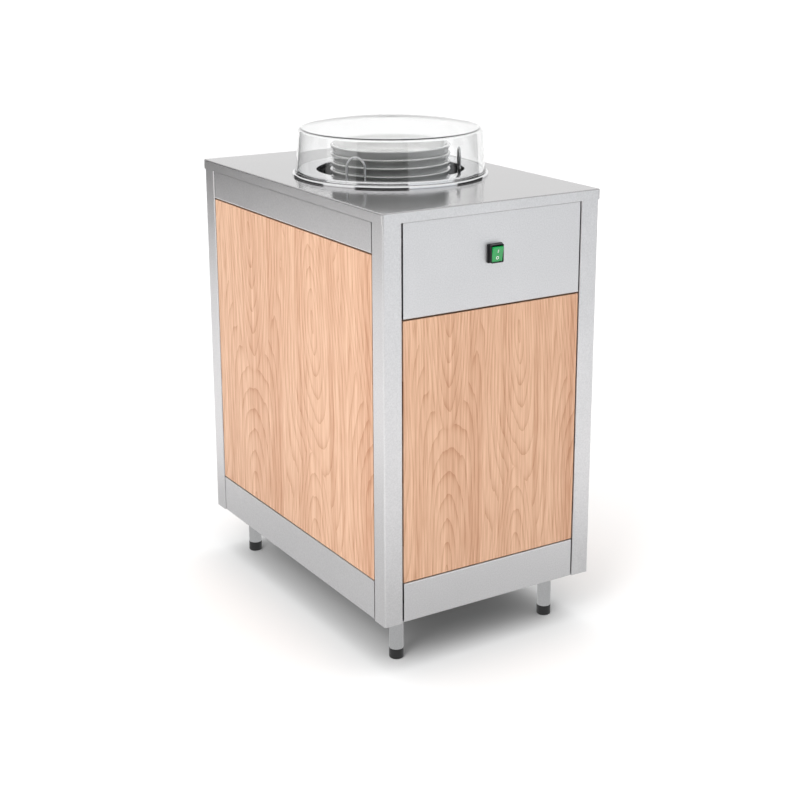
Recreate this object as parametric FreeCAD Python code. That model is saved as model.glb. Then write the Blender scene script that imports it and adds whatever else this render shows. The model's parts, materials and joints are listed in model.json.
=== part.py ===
import FreeCAD, Part
import math
import os

Vector = FreeCAD.Vector
UP = Vector(0, 0, 1)
CENTRE = Vector(0, 0, 0)

# Plate dispenser for a serving line. Millimetres, +Z up, origin on the floor under the middle
# of the counter. The switch is on the front, which faces -Y.

# Counter and body
COUNTER_WIDTH = 490.0
COUNTER_DEPTH = 750.0
COUNTER_HEIGHT = 900.0
COUNTER_EDGE = 20.0
COUNTER_LIP = 15.0
COUNTER_CORNER = 5.0
OVERHANG = 2.5
BODY_WIDTH = COUNTER_WIDTH - 2 * OVERHANG
BODY_DEPTH = COUNTER_DEPTH - 2 * OVERHANG
BODY_BOTTOM = 103.0
BODY_TOP = COUNTER_HEIGHT - COUNTER_EDGE
SHEET = 1.5
BEND = 1.5

# Cladding
POST_FACE = 40.0
POST_RETURN = 14.0
RECESS = 1.5
GROOVE = 3.0
SHADOW_GAP = 2.5
RAIL_RETURN = 25.0
LOWER_RAIL = 80.0
UPPER_RAIL = 60.0
FASCIA = 180.0
PANEL_THICKNESS = 16.0
REBATE_DEPTH = 9.0

# Inner frame, legs and feet
FRAME_TUBE = 30.0
FRAME_WALL = 2.0
FRAME_SETBACK = 14.5
UPRIGHT_TUBE = 35.0
GUSSET_SIZE = 60.0
GUSSET_THICKNESS = 4.0
LEG_INSET = 62.5
LEG_RADIUS = 14.0
LEG_WALL = 1.5
LEG_FLANGE_RADIUS = 22.0
LEG_FLANGE_THICKNESS = 4.0
STUD_RADIUS = 6.0
STUD_LENGTH = 20.0
FOOT_RADIUS = 14.5
FOOT_HEIGHT = 21.0
FOOT_STEM_TOP = 70.0
FOOT_GAP = 0.3
FOOT_SOLE_ROUND = 3.0
FOOT_TOP_ROUND = 1.2
INSERT_BOTTOM = 25.0
INSERT_TOP = 55.0
RUNNING_CLEARANCE = 0.05
NUT_FLATS = 19.0
NUT_HEIGHT = 10.0

# Rim ring and cover
RING_RADIUS = 200.0
RING_EDGE = 6.0
RING_RISE = 12.0
RING_COLLAR_RADIUS = 188.5
RING_SHEET = 2.0
WELL_RADIUS = 150.0
WELL_COLLAR = 18.0
CUTOUT_RADIUS = 165.0
DOME_EDGE = 93.5
DOME_CROWN_RISE = 20.0
DOME_CROWN_RADIUS = 820.0
DOME_FOOT_RADIUS = 193.0
DOME_TOP_RADIUS = 186.5
DOME_WALL = 3.0
DOME_SHOULDER = 7.0
DOME_BEAD = 1.6
DOME_BEAD_HEIGHT = 3.2
SEAT_GAP = 0.3

# Plates
PLATE_RADIUS = 125.0
PLATE_HEIGHT = 36.0
PLATE_PITCH = 16.5
PLATE_COUNT = 6
PLATE_SLOPE = 2.4
PLATE_WALL = 6.8
PLATE_FOOT_RADIUS = 86.0
PLATE_RIM_ROUND = 2.5
TOP_RIM_ABOVE_COUNTER = 61.5

# Shaft, guides and lift
SHAFT_RADIUS = 155.0
SHAFT_FLANGE_RADIUS = 212.0
SHAFT_BOTTOM = 225.0
FLOOR_THICKNESS = 3.0
SLOT_WIDTH = 26.0
SLOT_BOTTOM = 262.0
ARM_ANGLES = (30, 150, 270)
ROD_CIRCLE = 178.0
ROD_RADIUS = 6.0
ROD_TAIL = 20.0
GUIDE_ANGLES = (90, 210, 330)
GUIDE_CIRCLE = 140.0
GUIDE_WIRE = 2.5
GUIDE_HALF_WIDTH = 20.5
GUIDE_TOP_ABOVE_COUNTER = 53.0
GUIDE_TAIL = 12.0
CARRIER_RADIUS = 122.0
CARRIER_RIM = 10.0
CARRIER_SHEET = 2.0
COLUMN_RADIUS = 22.0
COLUMN_WALL = 3.0
COLUMN_DROP = 150.0
ARM_THICKNESS = 8.0
ARM_HEIGHT = 40.0
ARM_ROOT_HEIGHT = 95.0
ARM_STOP_GAP = 0.5
BUSH_RADIUS = 10.0
BUSH_LENGTH = 60.0
SLEEVE_RADIUS = 15.0
SPRING_CIRCLE = 203.0
SPRING_RADIUS = 9.0
SPRING_WIRE = 1.0
SPRING_LEG = 6.0
HOOK_RADIUS = 7.5
HOOK_SEAT = 0.45
HOOK_OPENING = 2.0
EYE_LENGTH = 24.0
EYE_MARGIN = 9.0
EYE_HOLE = 2.0
EYE_THICKNESS = 5.0
EYE_HEIGHT = 14.0

# Heater and wiring
HEATER_CIRCLE = 85.0
HEATER_ROD = 4.25
HEATER_HEIGHT = 25.0
HEATER_GAP_ANGLE = 14
HEATER_BEND = 12.0
HEATER_TAIL = 20.0
CLIP_RADIUS = 6.5
CLIP_ANGLES = (60, 180, 300)
CUTOUT_DISC_RADIUS = 9.0
CUTOUT_PLACE = (62.0, -62.0)
BOX_LENGTH = 120.0
BOX_WIDTH = 80.0
BOX_HEIGHT = 45.0
BOX_WALL = 2.5
BOX_LID = 4.0
BOX_PLACE = (90.0, 230.0)
GLAND_X = 120.0
GLAND_Z = 152.0
GLAND_THREAD = 8.0
GLAND_FLATS = 22.0
GLAND_BORE = 4.0

# Switch
SWITCH_Z = 802.0
SWITCH_FLANGE = (35.0, 36.5, 2.5)
SWITCH_COLLAR = (28.4, 35.0, 10.0)
SWITCH_BODY = (27.4, 33.8, 22.0)
SWITCH_OPENING = (25.3, 32.4)
SWITCH_WELL_DEPTH = 6.0
SWITCH_CUTOUT_CLEARANCE = 0.2
SWITCH_FLANGE_ROUND = 3.0
SWITCH_COLLAR_ROUND = 2.5
ROCKER_WIDTH = 24.3
ROCKER_HALF_HEIGHT = 14.6
ROCKER_OUT = 12.0
ROCKER_DIP = 1.4
ROCKER_SKIRT = 5.0
ROCKER_PIVOT_OUT = 4.0
ROCKER_PIN = 1.5
ROCKER_TILT = 12.0
BLADE = (0.8, 4.8, 8.0)
BLADE_OFFSET = (6.0, 8.0)

EDGE_ROUND = 1.0

TINY = 1e-6


# Drawing helpers

def in_plan(x, y):
    return Vector(x, y, 0)


def in_side_view(depth, z):
    return Vector(0, depth, z)


def in_turning_plane(radius, z):
    return Vector(radius, 0, z)


def corner_arc(before, corner, after, radius):
    """Start, middle and end of the arc that rounds a corner."""
    back = Vector(before - corner).normalize()
    ahead = Vector(after - corner).normalize()
    half_angle = back.getAngle(ahead) / 2
    bisector = Vector(back + ahead).normalize()
    arc_centre = corner + bisector * (radius / math.sin(half_angle))
    reach = radius / math.tan(half_angle)
    return corner + back * reach, arc_centre - bisector * radius, corner + ahead * reach


def outline_face(points, place):
    """Face inside a closed outline of (u, v, corner radius) points, set in space by place."""
    corners = [place(u, v) for u, v, radius in points]
    stops = []
    for index, (u, v, radius) in enumerate(points):
        corner = corners[index]
        following = corners[(index + 1) % len(corners)]
        if radius:
            stops.append(corner_arc(corners[index - 1], corner, following, radius))
        else:
            stops.append((corner, None, corner))
    edges = []
    for index, (start, middle, end) in enumerate(stops):
        if middle is not None:
            edges.append(Part.Arc(start, middle, end).toShape())
        next_start = stops[(index + 1) % len(stops)][0]
        if (next_start - end).Length > TINY:
            edges.append(Part.LineSegment(end, next_start).toShape())
    return Part.Face(Part.Wire(edges))


def bent_sheet(path, thickness, inner_bend):
    """Outline points of a folded sheet: path is one of its faces and the sheet lies to the left."""
    steps = []
    for (u0, v0), (u1, v1) in zip(path, path[1:]):
        length = math.hypot(u1 - u0, v1 - v0)
        steps.append(((u1 - u0) / length, (v1 - v0) / length))
    near = []
    far = []
    for index, (u, v) in enumerate(path):
        before = steps[max(index - 1, 0)]
        after = steps[min(index, len(steps) - 1)]
        turn = before[0] * after[1] - before[1] * after[0]
        share = thickness / (1 + before[0] * after[0] + before[1] * after[1])
        offset_u = -share * (before[1] + after[1])
        offset_v = share * (before[0] + after[0])
        near_radius = 0
        far_radius = 0
        if turn > TINY:
            near_radius = inner_bend + thickness
            far_radius = inner_bend
        if turn < -TINY:
            near_radius = inner_bend
            far_radius = inner_bend + thickness
        near.append((u, v, near_radius))
        far.append((u + offset_u, v + offset_v, far_radius))
    return near + far[::-1]


def turned(points):
    """Solid of revolution about the Z axis from (radius, z, corner radius) points."""
    return outline_face(points, in_turning_plane).revolve(CENTRE, UP, 360)


def block(size_x, size_y, size_z, centre_x, centre_y, bottom):
    corner = Vector(centre_x - size_x / 2, centre_y - size_y / 2, bottom)
    return Part.makeBox(size_x, size_y, size_z, corner)


def rounded_plate(size_u, size_v, radius, place, direction):
    """Flat plate with rounded corners, centred on its own axis and pushed along direction."""
    half_u = size_u / 2
    half_v = size_v / 2
    points = [(-half_u, -half_v, radius), (half_u, -half_v, radius),
              (half_u, half_v, radius), (-half_u, half_v, radius)]
    return outline_face(points, place).extrude(direction)


def hexagon(flats, height, bore):
    """Hexagon nut standing on z = 0 with a plain bore."""
    reach = flats / 2 / math.cos(math.pi / 6)
    points = [(reach * math.cos(k * math.pi / 3), reach * math.sin(k * math.pi / 3), 0) for k in range(6)]
    nut = outline_face(points, in_plan).extrude(Vector(0, 0, height))
    return nut.cut(Part.makeCylinder(bore, height))


def moved(shape, x, y, z):
    copy = shape.copy()
    copy.translate(Vector(x, y, z))
    return copy


def on_circle(radius, turn):
    return radius * math.cos(turn), radius * math.sin(turn)


def spun(shape, angle):
    copy = shape.copy()
    copy.rotate(CENTRE, UP, angle)
    return copy


# Placing pieces round the body

CORNERS = ("front_left", "front_right", "rear_left", "rear_right")

# Side name: turn about Z, size across which the two faces lie, width of the face
SIDES = {
    "front": (0, BODY_DEPTH, BODY_WIDTH),
    "right": (90, BODY_WIDTH, BODY_DEPTH),
    "rear": (180, BODY_DEPTH, BODY_WIDTH),
    "left": (270, BODY_WIDTH, BODY_DEPTH),
}


def at_corner(shape, corner):
    """Copy of a front left piece at one of the four corners."""
    placed = shape.copy()
    if corner.endswith("right"):
        placed = placed.mirror(CENTRE, Vector(1, 0, 0))
    if corner.startswith("rear"):
        placed = placed.mirror(CENTRE, Vector(0, 1, 0))
    return placed


def on_side(shape, side):
    """Moves a piece drawn behind a front face at y = 0 to one side of the body."""
    turn, across, width = SIDES[side]
    shape.translate(Vector(0, -across / 2, 0))
    shape.rotate(CENTRE, UP, turn)
    return shape


def opening_between_posts(side):
    return SIDES[side][2] - 2 * POST_FACE


# Counter

def rounded_slab(width, depth, bottom, top, corner_radius, top_radius):
    slab = rounded_plate(width, depth, corner_radius, in_plan, Vector(0, 0, top - bottom))
    slab.translate(Vector(0, 0, bottom))
    top_edges = [edge for edge in slab.Edges if min(v.Z for v in edge.Vertexes) > top - TINY]
    return slab.makeFillet(top_radius, top_edges)


def countertop():
    """Folded steel skin: top, rolled edges and a lip turned in under the board."""
    bottom = COUNTER_HEIGHT - COUNTER_EDGE
    fold = BEND + SHEET
    skin = rounded_slab(COUNTER_WIDTH, COUNTER_DEPTH, bottom, COUNTER_HEIGHT, COUNTER_CORNER, fold)
    inside = rounded_slab(COUNTER_WIDTH - 2 * SHEET, COUNTER_DEPTH - 2 * SHEET, bottom + SHEET,
                          COUNTER_HEIGHT - SHEET, COUNTER_CORNER - SHEET, BEND)
    window = block(COUNTER_WIDTH - 2 * COUNTER_LIP, COUNTER_DEPTH - 2 * COUNTER_LIP, SHEET, 0, 0, bottom)
    hole = Part.makeCylinder(CUTOUT_RADIUS, COUNTER_EDGE, Vector(0, 0, bottom))
    return skin.cut(inside).cut(window).cut(hole)


def counter_board():
    """Stiffening board that fills the skin."""
    bottom = COUNTER_HEIGHT - COUNTER_EDGE + SHEET
    inset = SHEET + BEND
    board = rounded_plate(COUNTER_WIDTH - 2 * inset, COUNTER_DEPTH - 2 * inset, COUNTER_CORNER, in_plan,
                          Vector(0, 0, COUNTER_EDGE - 2 * SHEET))
    board.translate(Vector(0, 0, bottom))
    return board.cut(Part.makeCylinder(CUTOUT_RADIUS, COUNTER_EDGE, Vector(0, 0, bottom)))


def rim_ring():
    """Spun ring: rolled outer edge, seat for the cover, raised collar and well lip."""
    base = COUNTER_HEIGHT
    path = [(RING_RADIUS, base), (RING_RADIUS, base + RING_EDGE), (RING_COLLAR_RADIUS, base + RING_EDGE),
            (RING_COLLAR_RADIUS, base + RING_RISE), (WELL_RADIUS, base + RING_RISE),
            (WELL_RADIUS, base - WELL_COLLAR)]
    return turned(bent_sheet(path, RING_SHEET, BEND))


def dome_cover():
    """Clear moulded cover with a bead round its foot, a rounded shoulder and a crowned top."""
    foot = COUNTER_HEIGHT + RING_EDGE + SEAT_GAP
    edge = COUNTER_HEIGHT + DOME_EDGE
    top = edge + DOME_CROWN_RISE
    crown_corner = DOME_TOP_RADIUS / 2
    bead_top = foot + DOME_BEAD_HEIGHT
    bead_radius = DOME_FOOT_RADIUS + DOME_BEAD
    points = [(DOME_FOOT_RADIUS - DOME_WALL, foot, 0), (bead_radius, foot, EDGE_ROUND),
              (bead_radius, bead_top, EDGE_ROUND), (DOME_FOOT_RADIUS, bead_top, 0),
              (DOME_TOP_RADIUS, edge, DOME_SHOULDER), (crown_corner, top, DOME_CROWN_RADIUS), (0, top, 0),
              (0, top - DOME_WALL, 0), (crown_corner, top - DOME_WALL, DOME_CROWN_RADIUS - DOME_WALL),
              (DOME_TOP_RADIUS - DOME_WALL, edge - DOME_WALL, DOME_SHOULDER - DOME_WALL)]
    return turned(points)


# Cladding

def corner_post():
    """Folded corner post, two faces and two returns, drawn at the front left."""
    path = [(POST_RETURN, POST_FACE), (0, POST_FACE), (0, 0), (POST_FACE, 0), (POST_FACE, POST_RETURN)]
    post = outline_face(bent_sheet(path, SHEET, BEND), in_plan).extrude(Vector(0, 0, BODY_TOP - BODY_BOTTOM))
    return moved(post, -BODY_WIDTH / 2, -BODY_DEPTH / 2, BODY_BOTTOM)


def rail(side, bottom, top):
    """Folded channel between two posts, open to the inside."""
    back = RECESS + RAIL_RETURN
    path = [(back, top), (RECESS, top), (RECESS, bottom), (back, bottom)]
    length = opening_between_posts(side) - 2 * GROOVE
    channel = outline_face(bent_sheet(path, SHEET, BEND), in_side_view).extrude(Vector(length, 0, 0))
    return on_side(moved(channel, -length / 2, 0, 0), side)


def front_fascia():
    """Front fascia with the switch cut-out."""
    width = SWITCH_BODY[0] + 2 * SWITCH_CUTOUT_CLEARANCE
    height = SWITCH_BODY[1] + 2 * SWITCH_CUTOUT_CLEARANCE
    cutter = block(width, POST_FACE, height, 0, -BODY_DEPTH / 2, SWITCH_Z - height / 2)
    return rail("front", BODY_TOP - FASCIA, BODY_TOP).cut(cutter)


def rear_lower_rail():
    """Rear lower rail with the hole for the cable gland."""
    hole = Part.makeCylinder(GLAND_THREAD + RUNNING_CLEARANCE, POST_FACE,
                             Vector(GLAND_X, BODY_DEPTH / 2 - POST_FACE / 2, GLAND_Z), Vector(0, 1, 0))
    return rail("rear", BODY_BOTTOM, BODY_BOTTOM + LOWER_RAIL).cut(hole)


def panel(side, top):
    """Decor board whose rebated edges leave a shadow gap all round its face."""
    bottom = BODY_BOTTOM + LOWER_RAIL
    half = opening_between_posts(side) / 2
    face = RECESS
    step = RECESS + REBATE_DEPTH
    back = RECESS + PANEL_THICKNESS
    points = [(-half, step, 0), (-half + GROOVE, step, 0), (-half + GROOVE, face, 0),
              (half - GROOVE, face, 0), (half - GROOVE, step, 0), (half, step, 0),
              (half, back, 0), (-half, back, 0)]
    board = outline_face(points, in_plan).extrude(Vector(0, 0, top - bottom))
    board.translate(Vector(0, 0, bottom))
    for edge_bottom in (bottom, top - SHADOW_GAP):
        board = board.cut(block(2 * half, REBATE_DEPTH, SHADOW_GAP, 0, face + REBATE_DEPTH / 2, edge_bottom))
    return on_side(board, side)


# Inner frame

def square_tube(size, length):
    """Square tube standing on z = 0."""
    outer = rounded_plate(size, size, BEND + FRAME_WALL, in_plan, Vector(0, 0, length))
    inner_size = size - 2 * FRAME_WALL
    return outer.cut(rounded_plate(inner_size, inner_size, BEND, in_plan, Vector(0, 0, length)))


def frame_ring(bottom):
    """Four tubes behind the rails, butted at the corners."""
    long_length = BODY_DEPTH - 2 * (SHEET + UPRIGHT_TUBE)
    short_length = BODY_WIDTH - 2 * (FRAME_SETBACK + FRAME_TUBE)
    middle_z = bottom + FRAME_TUBE / 2
    tubes = []
    for sign in (-1, 1):
        along_y = square_tube(FRAME_TUBE, long_length)
        along_y.rotate(CENTRE, Vector(1, 0, 0), -90)
        x = sign * (BODY_WIDTH / 2 - FRAME_SETBACK - FRAME_TUBE / 2)
        tubes.append(moved(along_y, x, -long_length / 2, middle_z))
        along_x = square_tube(FRAME_TUBE, short_length)
        along_x.rotate(CENTRE, Vector(0, 1, 0), 90)
        y = sign * (BODY_DEPTH / 2 - FRAME_SETBACK - FRAME_TUBE / 2)
        tubes.append(moved(along_x, -short_length / 2, y, middle_z))
    return tubes


def leg_axis():
    return -BODY_WIDTH / 2 + LEG_INSET, -BODY_DEPTH / 2 + LEG_INSET


def base_frame():
    """Base ring with a drilled gusset in each corner for a leg."""
    bottom = BODY_BOTTOM + SHEET
    inner = FRAME_SETBACK + FRAME_TUBE + GUSSET_SIZE / 2
    x, y = leg_axis()
    gusset = block(GUSSET_SIZE, GUSSET_SIZE, GUSSET_THICKNESS,
                   -BODY_WIDTH / 2 + inner, -BODY_DEPTH / 2 + inner, bottom)
    stud_hole = Part.makeCylinder(STUD_RADIUS + RUNNING_CLEARANCE, GUSSET_THICKNESS, Vector(x, y, bottom))
    gusset = gusset.cut(stud_hole)
    return Part.makeCompound(frame_ring(bottom) + [at_corner(gusset, corner) for corner in CORNERS])


def top_frame():
    return Part.makeCompound(frame_ring(BODY_TOP - SHEET - FRAME_TUBE))


def frame_uprights():
    bottom = BODY_BOTTOM
    tube = square_tube(UPRIGHT_TUBE, BODY_TOP - bottom)
    centre = SHEET + UPRIGHT_TUBE / 2
    tube.translate(Vector(-BODY_WIDTH / 2 + centre, -BODY_DEPTH / 2 + centre, bottom))
    return Part.makeCompound([at_corner(tube, corner) for corner in CORNERS])


def base_plate():
    """Sheet on the base ring, notched round the uprights, with rows of vent slots."""
    bottom = BODY_BOTTOM + SHEET + FRAME_TUBE
    half_x = BODY_WIDTH / 2 - FRAME_SETBACK - BEND
    half_y = BODY_DEPTH / 2 - FRAME_SETBACK - BEND
    notch_clearance = 1.0
    notch = SHEET + UPRIGHT_TUBE + notch_clearance - FRAME_SETBACK - BEND
    inner_x = half_x - notch
    inner_y = half_y - notch
    points = [(-inner_x, -half_y, 0), (inner_x, -half_y, 0), (inner_x, -inner_y, 0), (half_x, -inner_y, 0),
              (half_x, inner_y, 0), (inner_x, inner_y, 0), (inner_x, half_y, 0), (-inner_x, half_y, 0),
              (-inner_x, inner_y, 0), (-half_x, inner_y, 0), (-half_x, -inner_y, 0), (-inner_x, -inner_y, 0)]
    plate = outline_face(points, in_plan).extrude(Vector(0, 0, SHEET))
    plate.translate(Vector(0, 0, bottom))
    slot_length = 70.0
    slot_width = 6.0
    slot_pitch = 18.0
    row_offset = 60.0
    slots_each_way = 4
    slot = rounded_plate(slot_length, slot_width, slot_width / 2, in_plan, Vector(0, 0, SHEET))
    for row_x in (-row_offset, row_offset):
        for step in range(-slots_each_way, slots_each_way + 1):
            plate = plate.cut(moved(slot, row_x, step * slot_pitch, bottom))
    return plate


# Legs and feet

def leg():
    """Tube leg closed at the top by a flange with a stud."""
    flange_top = BODY_BOTTOM + SHEET
    flange_bottom = flange_top - LEG_FLANGE_THICKNESS
    bore = LEG_RADIUS - LEG_WALL
    bottom = FOOT_HEIGHT + FOOT_GAP
    points = [(bore, bottom, 0), (LEG_RADIUS, bottom, 0), (LEG_RADIUS, flange_bottom, 0),
              (LEG_FLANGE_RADIUS, flange_bottom, EDGE_ROUND), (LEG_FLANGE_RADIUS, flange_top, 0),
              (STUD_RADIUS, flange_top, 0), (STUD_RADIUS, flange_top + STUD_LENGTH, EDGE_ROUND),
              (0, flange_top + STUD_LENGTH, 0), (0, flange_bottom, 0), (bore, flange_bottom, 0)]
    return moved(turned(points), *leg_axis(), 0)


def leg_nut():
    nut = hexagon(NUT_FLATS, NUT_HEIGHT, STUD_RADIUS + RUNNING_CLEARANCE)
    return moved(nut, *leg_axis(), BODY_BOTTOM + SHEET + GUSSET_THICKNESS)


def leg_insert():
    """Threaded insert pressed into the tube, drawn with a plain bore."""
    outside = LEG_RADIUS - LEG_WALL - RUNNING_CLEARANCE
    bore = STUD_RADIUS + RUNNING_CLEARANCE
    points = [(bore, INSERT_BOTTOM, 0), (outside, INSERT_BOTTOM, EDGE_ROUND),
              (outside, INSERT_TOP, EDGE_ROUND), (bore, INSERT_TOP, 0)]
    return moved(turned(points), *leg_axis(), 0)


def foot():
    """Moulded foot with its stem, which screws into the insert."""
    points = [(0, 0, 0), (FOOT_RADIUS, 0, FOOT_SOLE_ROUND), (FOOT_RADIUS, FOOT_HEIGHT, FOOT_TOP_ROUND),
              (STUD_RADIUS, FOOT_HEIGHT, 0),
              (STUD_RADIUS, FOOT_STEM_TOP, EDGE_ROUND), (0, FOOT_STEM_TOP, 0)]
    return moved(turned(points), *leg_axis(), 0)


# Shaft and guides

def carrier_level():
    """Height of the carrier plate's top with the stack at its photographed level."""
    stack = PLATE_HEIGHT + (PLATE_COUNT - 1) * PLATE_PITCH
    return COUNTER_HEIGHT + TOP_RIM_ABOVE_COUNTER - stack


def arm_bottom():
    return carrier_level() - COLUMN_DROP


def shaft_top():
    return COUNTER_HEIGHT - COUNTER_EDGE + SHEET


def eye_plate(bottom):
    """Drilled plate that a spring hooks into, drawn on the X axis."""
    middle = SPRING_CIRCLE + EYE_MARGIN - EYE_LENGTH / 2
    plate = block(EYE_LENGTH, EYE_THICKNESS, EYE_HEIGHT, middle, 0, bottom)
    hole_start = Vector(SPRING_CIRCLE, -EYE_THICKNESS / 2, bottom + EYE_HEIGHT / 2)
    hole = Part.makeCylinder(EYE_HOLE, EYE_THICKNESS, hole_start, Vector(0, 1, 0))
    return plate.cut(hole)


def shaft_tube():
    """Flanged tube with a slot for each carrier arm and an eye above it for the spring."""
    top = shaft_top()
    path = [(SHAFT_FLANGE_RADIUS, top), (SHAFT_RADIUS, top), (SHAFT_RADIUS, SHAFT_BOTTOM)]
    tube = turned(bent_sheet(path, RING_SHEET, BEND))
    slot_top = arm_bottom() + ARM_HEIGHT + ARM_STOP_GAP
    slot_height = slot_top - SLOT_BOTTOM
    through_wall = 60.0
    slot = block(through_wall, SLOT_WIDTH, slot_height, SHAFT_RADIUS, 0, SLOT_BOTTOM)
    for angle in ARM_ANGLES:
        tube = tube.cut(spun(slot, angle))
        tube = tube.fuse(spun(eye_plate(top - RING_SHEET - EYE_HEIGHT), angle))
    return tube.removeSplitter()


def shaft_floor():
    """Disc that closes the shaft, drilled for the rods, guides and heater, with vent holes."""
    bottom = SHAFT_BOTTOM - FLOOR_THICKNESS
    disc = Part.makeCylinder(SHAFT_FLANGE_RADIUS, FLOOR_THICKNESS, Vector(0, 0, bottom))

    def drilled(shape, radius, x, y):
        return shape.cut(Part.makeCylinder(radius, FLOOR_THICKNESS, Vector(x, y, bottom)))

    for angle in ARM_ANGLES:
        disc = drilled(disc, ROD_RADIUS + RUNNING_CLEARANCE, *on_circle(ROD_CIRCLE, math.radians(angle)))
    guide_reach = math.hypot(GUIDE_HALF_WIDTH, GUIDE_CIRCLE)
    guide_spread = math.atan2(GUIDE_HALF_WIDTH, GUIDE_CIRCLE)
    for angle in GUIDE_ANGLES:
        for turn in (math.radians(angle) - guide_spread, math.radians(angle) + guide_spread):
            disc = drilled(disc, GUIDE_WIRE + RUNNING_CLEARANCE, *on_circle(guide_reach, turn))
    for x, y in heater_ends():
        disc = drilled(disc, HEATER_ROD + RUNNING_CLEARANCE, x, y)
    vent_radius = 9.0
    vent_circle = 45.0
    for step in range(6):
        disc = drilled(disc, vent_radius, *on_circle(vent_circle, step * math.pi / 3))
    return disc


def guide_rod(angle):
    top = COUNTER_HEIGHT - COUNTER_EDGE + SHEET - RING_SHEET
    bottom = SHAFT_BOTTOM - FLOOR_THICKNESS - ROD_TAIL
    points = [(0, bottom, 0), (ROD_RADIUS, bottom, EDGE_ROUND), (ROD_RADIUS, top, 0), (0, top, 0)]
    return spun(moved(turned(points), ROD_CIRCLE, 0, 0), angle)


def rod_nuts():
    """A nut above and below the shaft floor on each rod."""
    nut = hexagon(NUT_FLATS, NUT_HEIGHT, ROD_RADIUS + RUNNING_CLEARANCE)
    below = moved(nut, ROD_CIRCLE, 0, SHAFT_BOTTOM - FLOOR_THICKNESS - NUT_HEIGHT)
    above = moved(nut, ROD_CIRCLE, 0, SHAFT_BOTTOM)
    return Part.makeCompound([spun(piece, angle) for angle in ARM_ANGLES for piece in (below, above)])


def wire_along(edges, radius, start, direction):
    """Round wire swept along joined lines and arcs."""
    circle = Part.Wire([Part.makeCircle(radius, start, direction)])
    return Part.Wire(edges).makePipeShell([circle], True, False)


def plate_guide(angle):
    """Wire hoop whose two legs stand in the shaft floor."""
    bottom = SHAFT_BOTTOM - FLOOR_THICKNESS - GUIDE_TAIL
    crown = COUNTER_HEIGHT + GUIDE_TOP_ABOVE_COUNTER - GUIDE_WIRE
    shoulder = crown - GUIDE_HALF_WIDTH
    left_foot = Vector(GUIDE_CIRCLE, -GUIDE_HALF_WIDTH, bottom)
    left_top = Vector(GUIDE_CIRCLE, -GUIDE_HALF_WIDTH, shoulder)
    right_top = Vector(GUIDE_CIRCLE, GUIDE_HALF_WIDTH, shoulder)
    right_foot = Vector(GUIDE_CIRCLE, GUIDE_HALF_WIDTH, bottom)
    edges = [Part.LineSegment(left_foot, left_top).toShape(),
             Part.Arc(left_top, Vector(GUIDE_CIRCLE, 0, crown), right_top).toShape(),
             Part.LineSegment(right_top, right_foot).toShape()]
    return spun(wire_along(edges, GUIDE_WIRE, left_foot, UP), angle)


# Plate carrier

def carrier_plate():
    """Round tray with a turned-down rim and a ring of vent holes."""
    top = carrier_level()
    path = [(CARRIER_RADIUS, top - CARRIER_RIM), (CARRIER_RADIUS, top), (0, top)]
    tray = turned(bent_sheet(path, CARRIER_SHEET, BEND))
    vent_radius = 14.0
    vent_circle = 75.0
    for step in range(6):
        place = Vector(*on_circle(vent_circle, step * math.pi / 3), top - CARRIER_RIM)
        tray = tray.cut(Part.makeCylinder(vent_radius, 2 * CARRIER_RIM, place))
    return tray


def carrier_arm():
    """Tapered arm with its guide sleeve and spring eye, drawn along the X axis."""
    bottom = arm_bottom()
    root = COLUMN_RADIUS - COLUMN_WALL / 2
    knee = SHAFT_RADIUS / 2
    tip = ROD_CIRCLE - (BUSH_RADIUS + SLEEVE_RADIUS) / 2
    points = [(root, bottom, 0), (tip, bottom, 0), (tip, bottom + ARM_HEIGHT, 0),
              (knee, bottom + ARM_HEIGHT, 0), (root, bottom + ARM_ROOT_HEIGHT, 0)]
    fin = outline_face(points, in_turning_plane).extrude(Vector(0, ARM_THICKNESS, 0))
    fin.translate(Vector(0, -ARM_THICKNESS / 2, 0))
    sleeve_bottom = bottom + ARM_HEIGHT / 2 - BUSH_LENGTH / 2
    sleeve_axis = Vector(ROD_CIRCLE, 0, sleeve_bottom)
    sleeve = Part.makeCylinder(SLEEVE_RADIUS, BUSH_LENGTH, sleeve_axis)
    bore = Part.makeCylinder(BUSH_RADIUS + RUNNING_CLEARANCE, BUSH_LENGTH, sleeve_axis)
    return fin.fuse(sleeve).fuse(eye_plate(bottom)).cut(bore)


def carrier_spider():
    """Column under the carrier plate with three arms that reach out through the shaft's slots."""
    bottom = arm_bottom()
    top = carrier_level() - CARRIER_SHEET
    pad_radius = 2 * COLUMN_RADIUS
    pad = 4.0
    weld = 2.0
    inside = COLUMN_RADIUS - COLUMN_WALL
    points = [(inside, bottom, 0), (COLUMN_RADIUS, bottom, 0), (COLUMN_RADIUS, top - pad, weld),
              (pad_radius, top - pad, 0), (pad_radius, top, 0), (inside, top, 0)]
    spider = turned(points)
    for angle in ARM_ANGLES:
        spider = spider.fuse(spun(carrier_arm(), angle))
    return spider.removeSplitter()


def carrier_bushes():
    """Plastic bushes that run on the guide rods."""
    bottom = arm_bottom() + ARM_HEIGHT / 2 - BUSH_LENGTH / 2
    bore = ROD_RADIUS + RUNNING_CLEARANCE
    points = [(bore, bottom, 0), (BUSH_RADIUS, bottom, 0), (BUSH_RADIUS, bottom + BUSH_LENGTH, 0),
              (bore, bottom + BUSH_LENGTH, 0)]
    bush = moved(turned(points), ROD_CIRCLE, 0, 0)
    return Part.makeCompound([spun(bush, angle) for angle in ARM_ANGLES])


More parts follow.
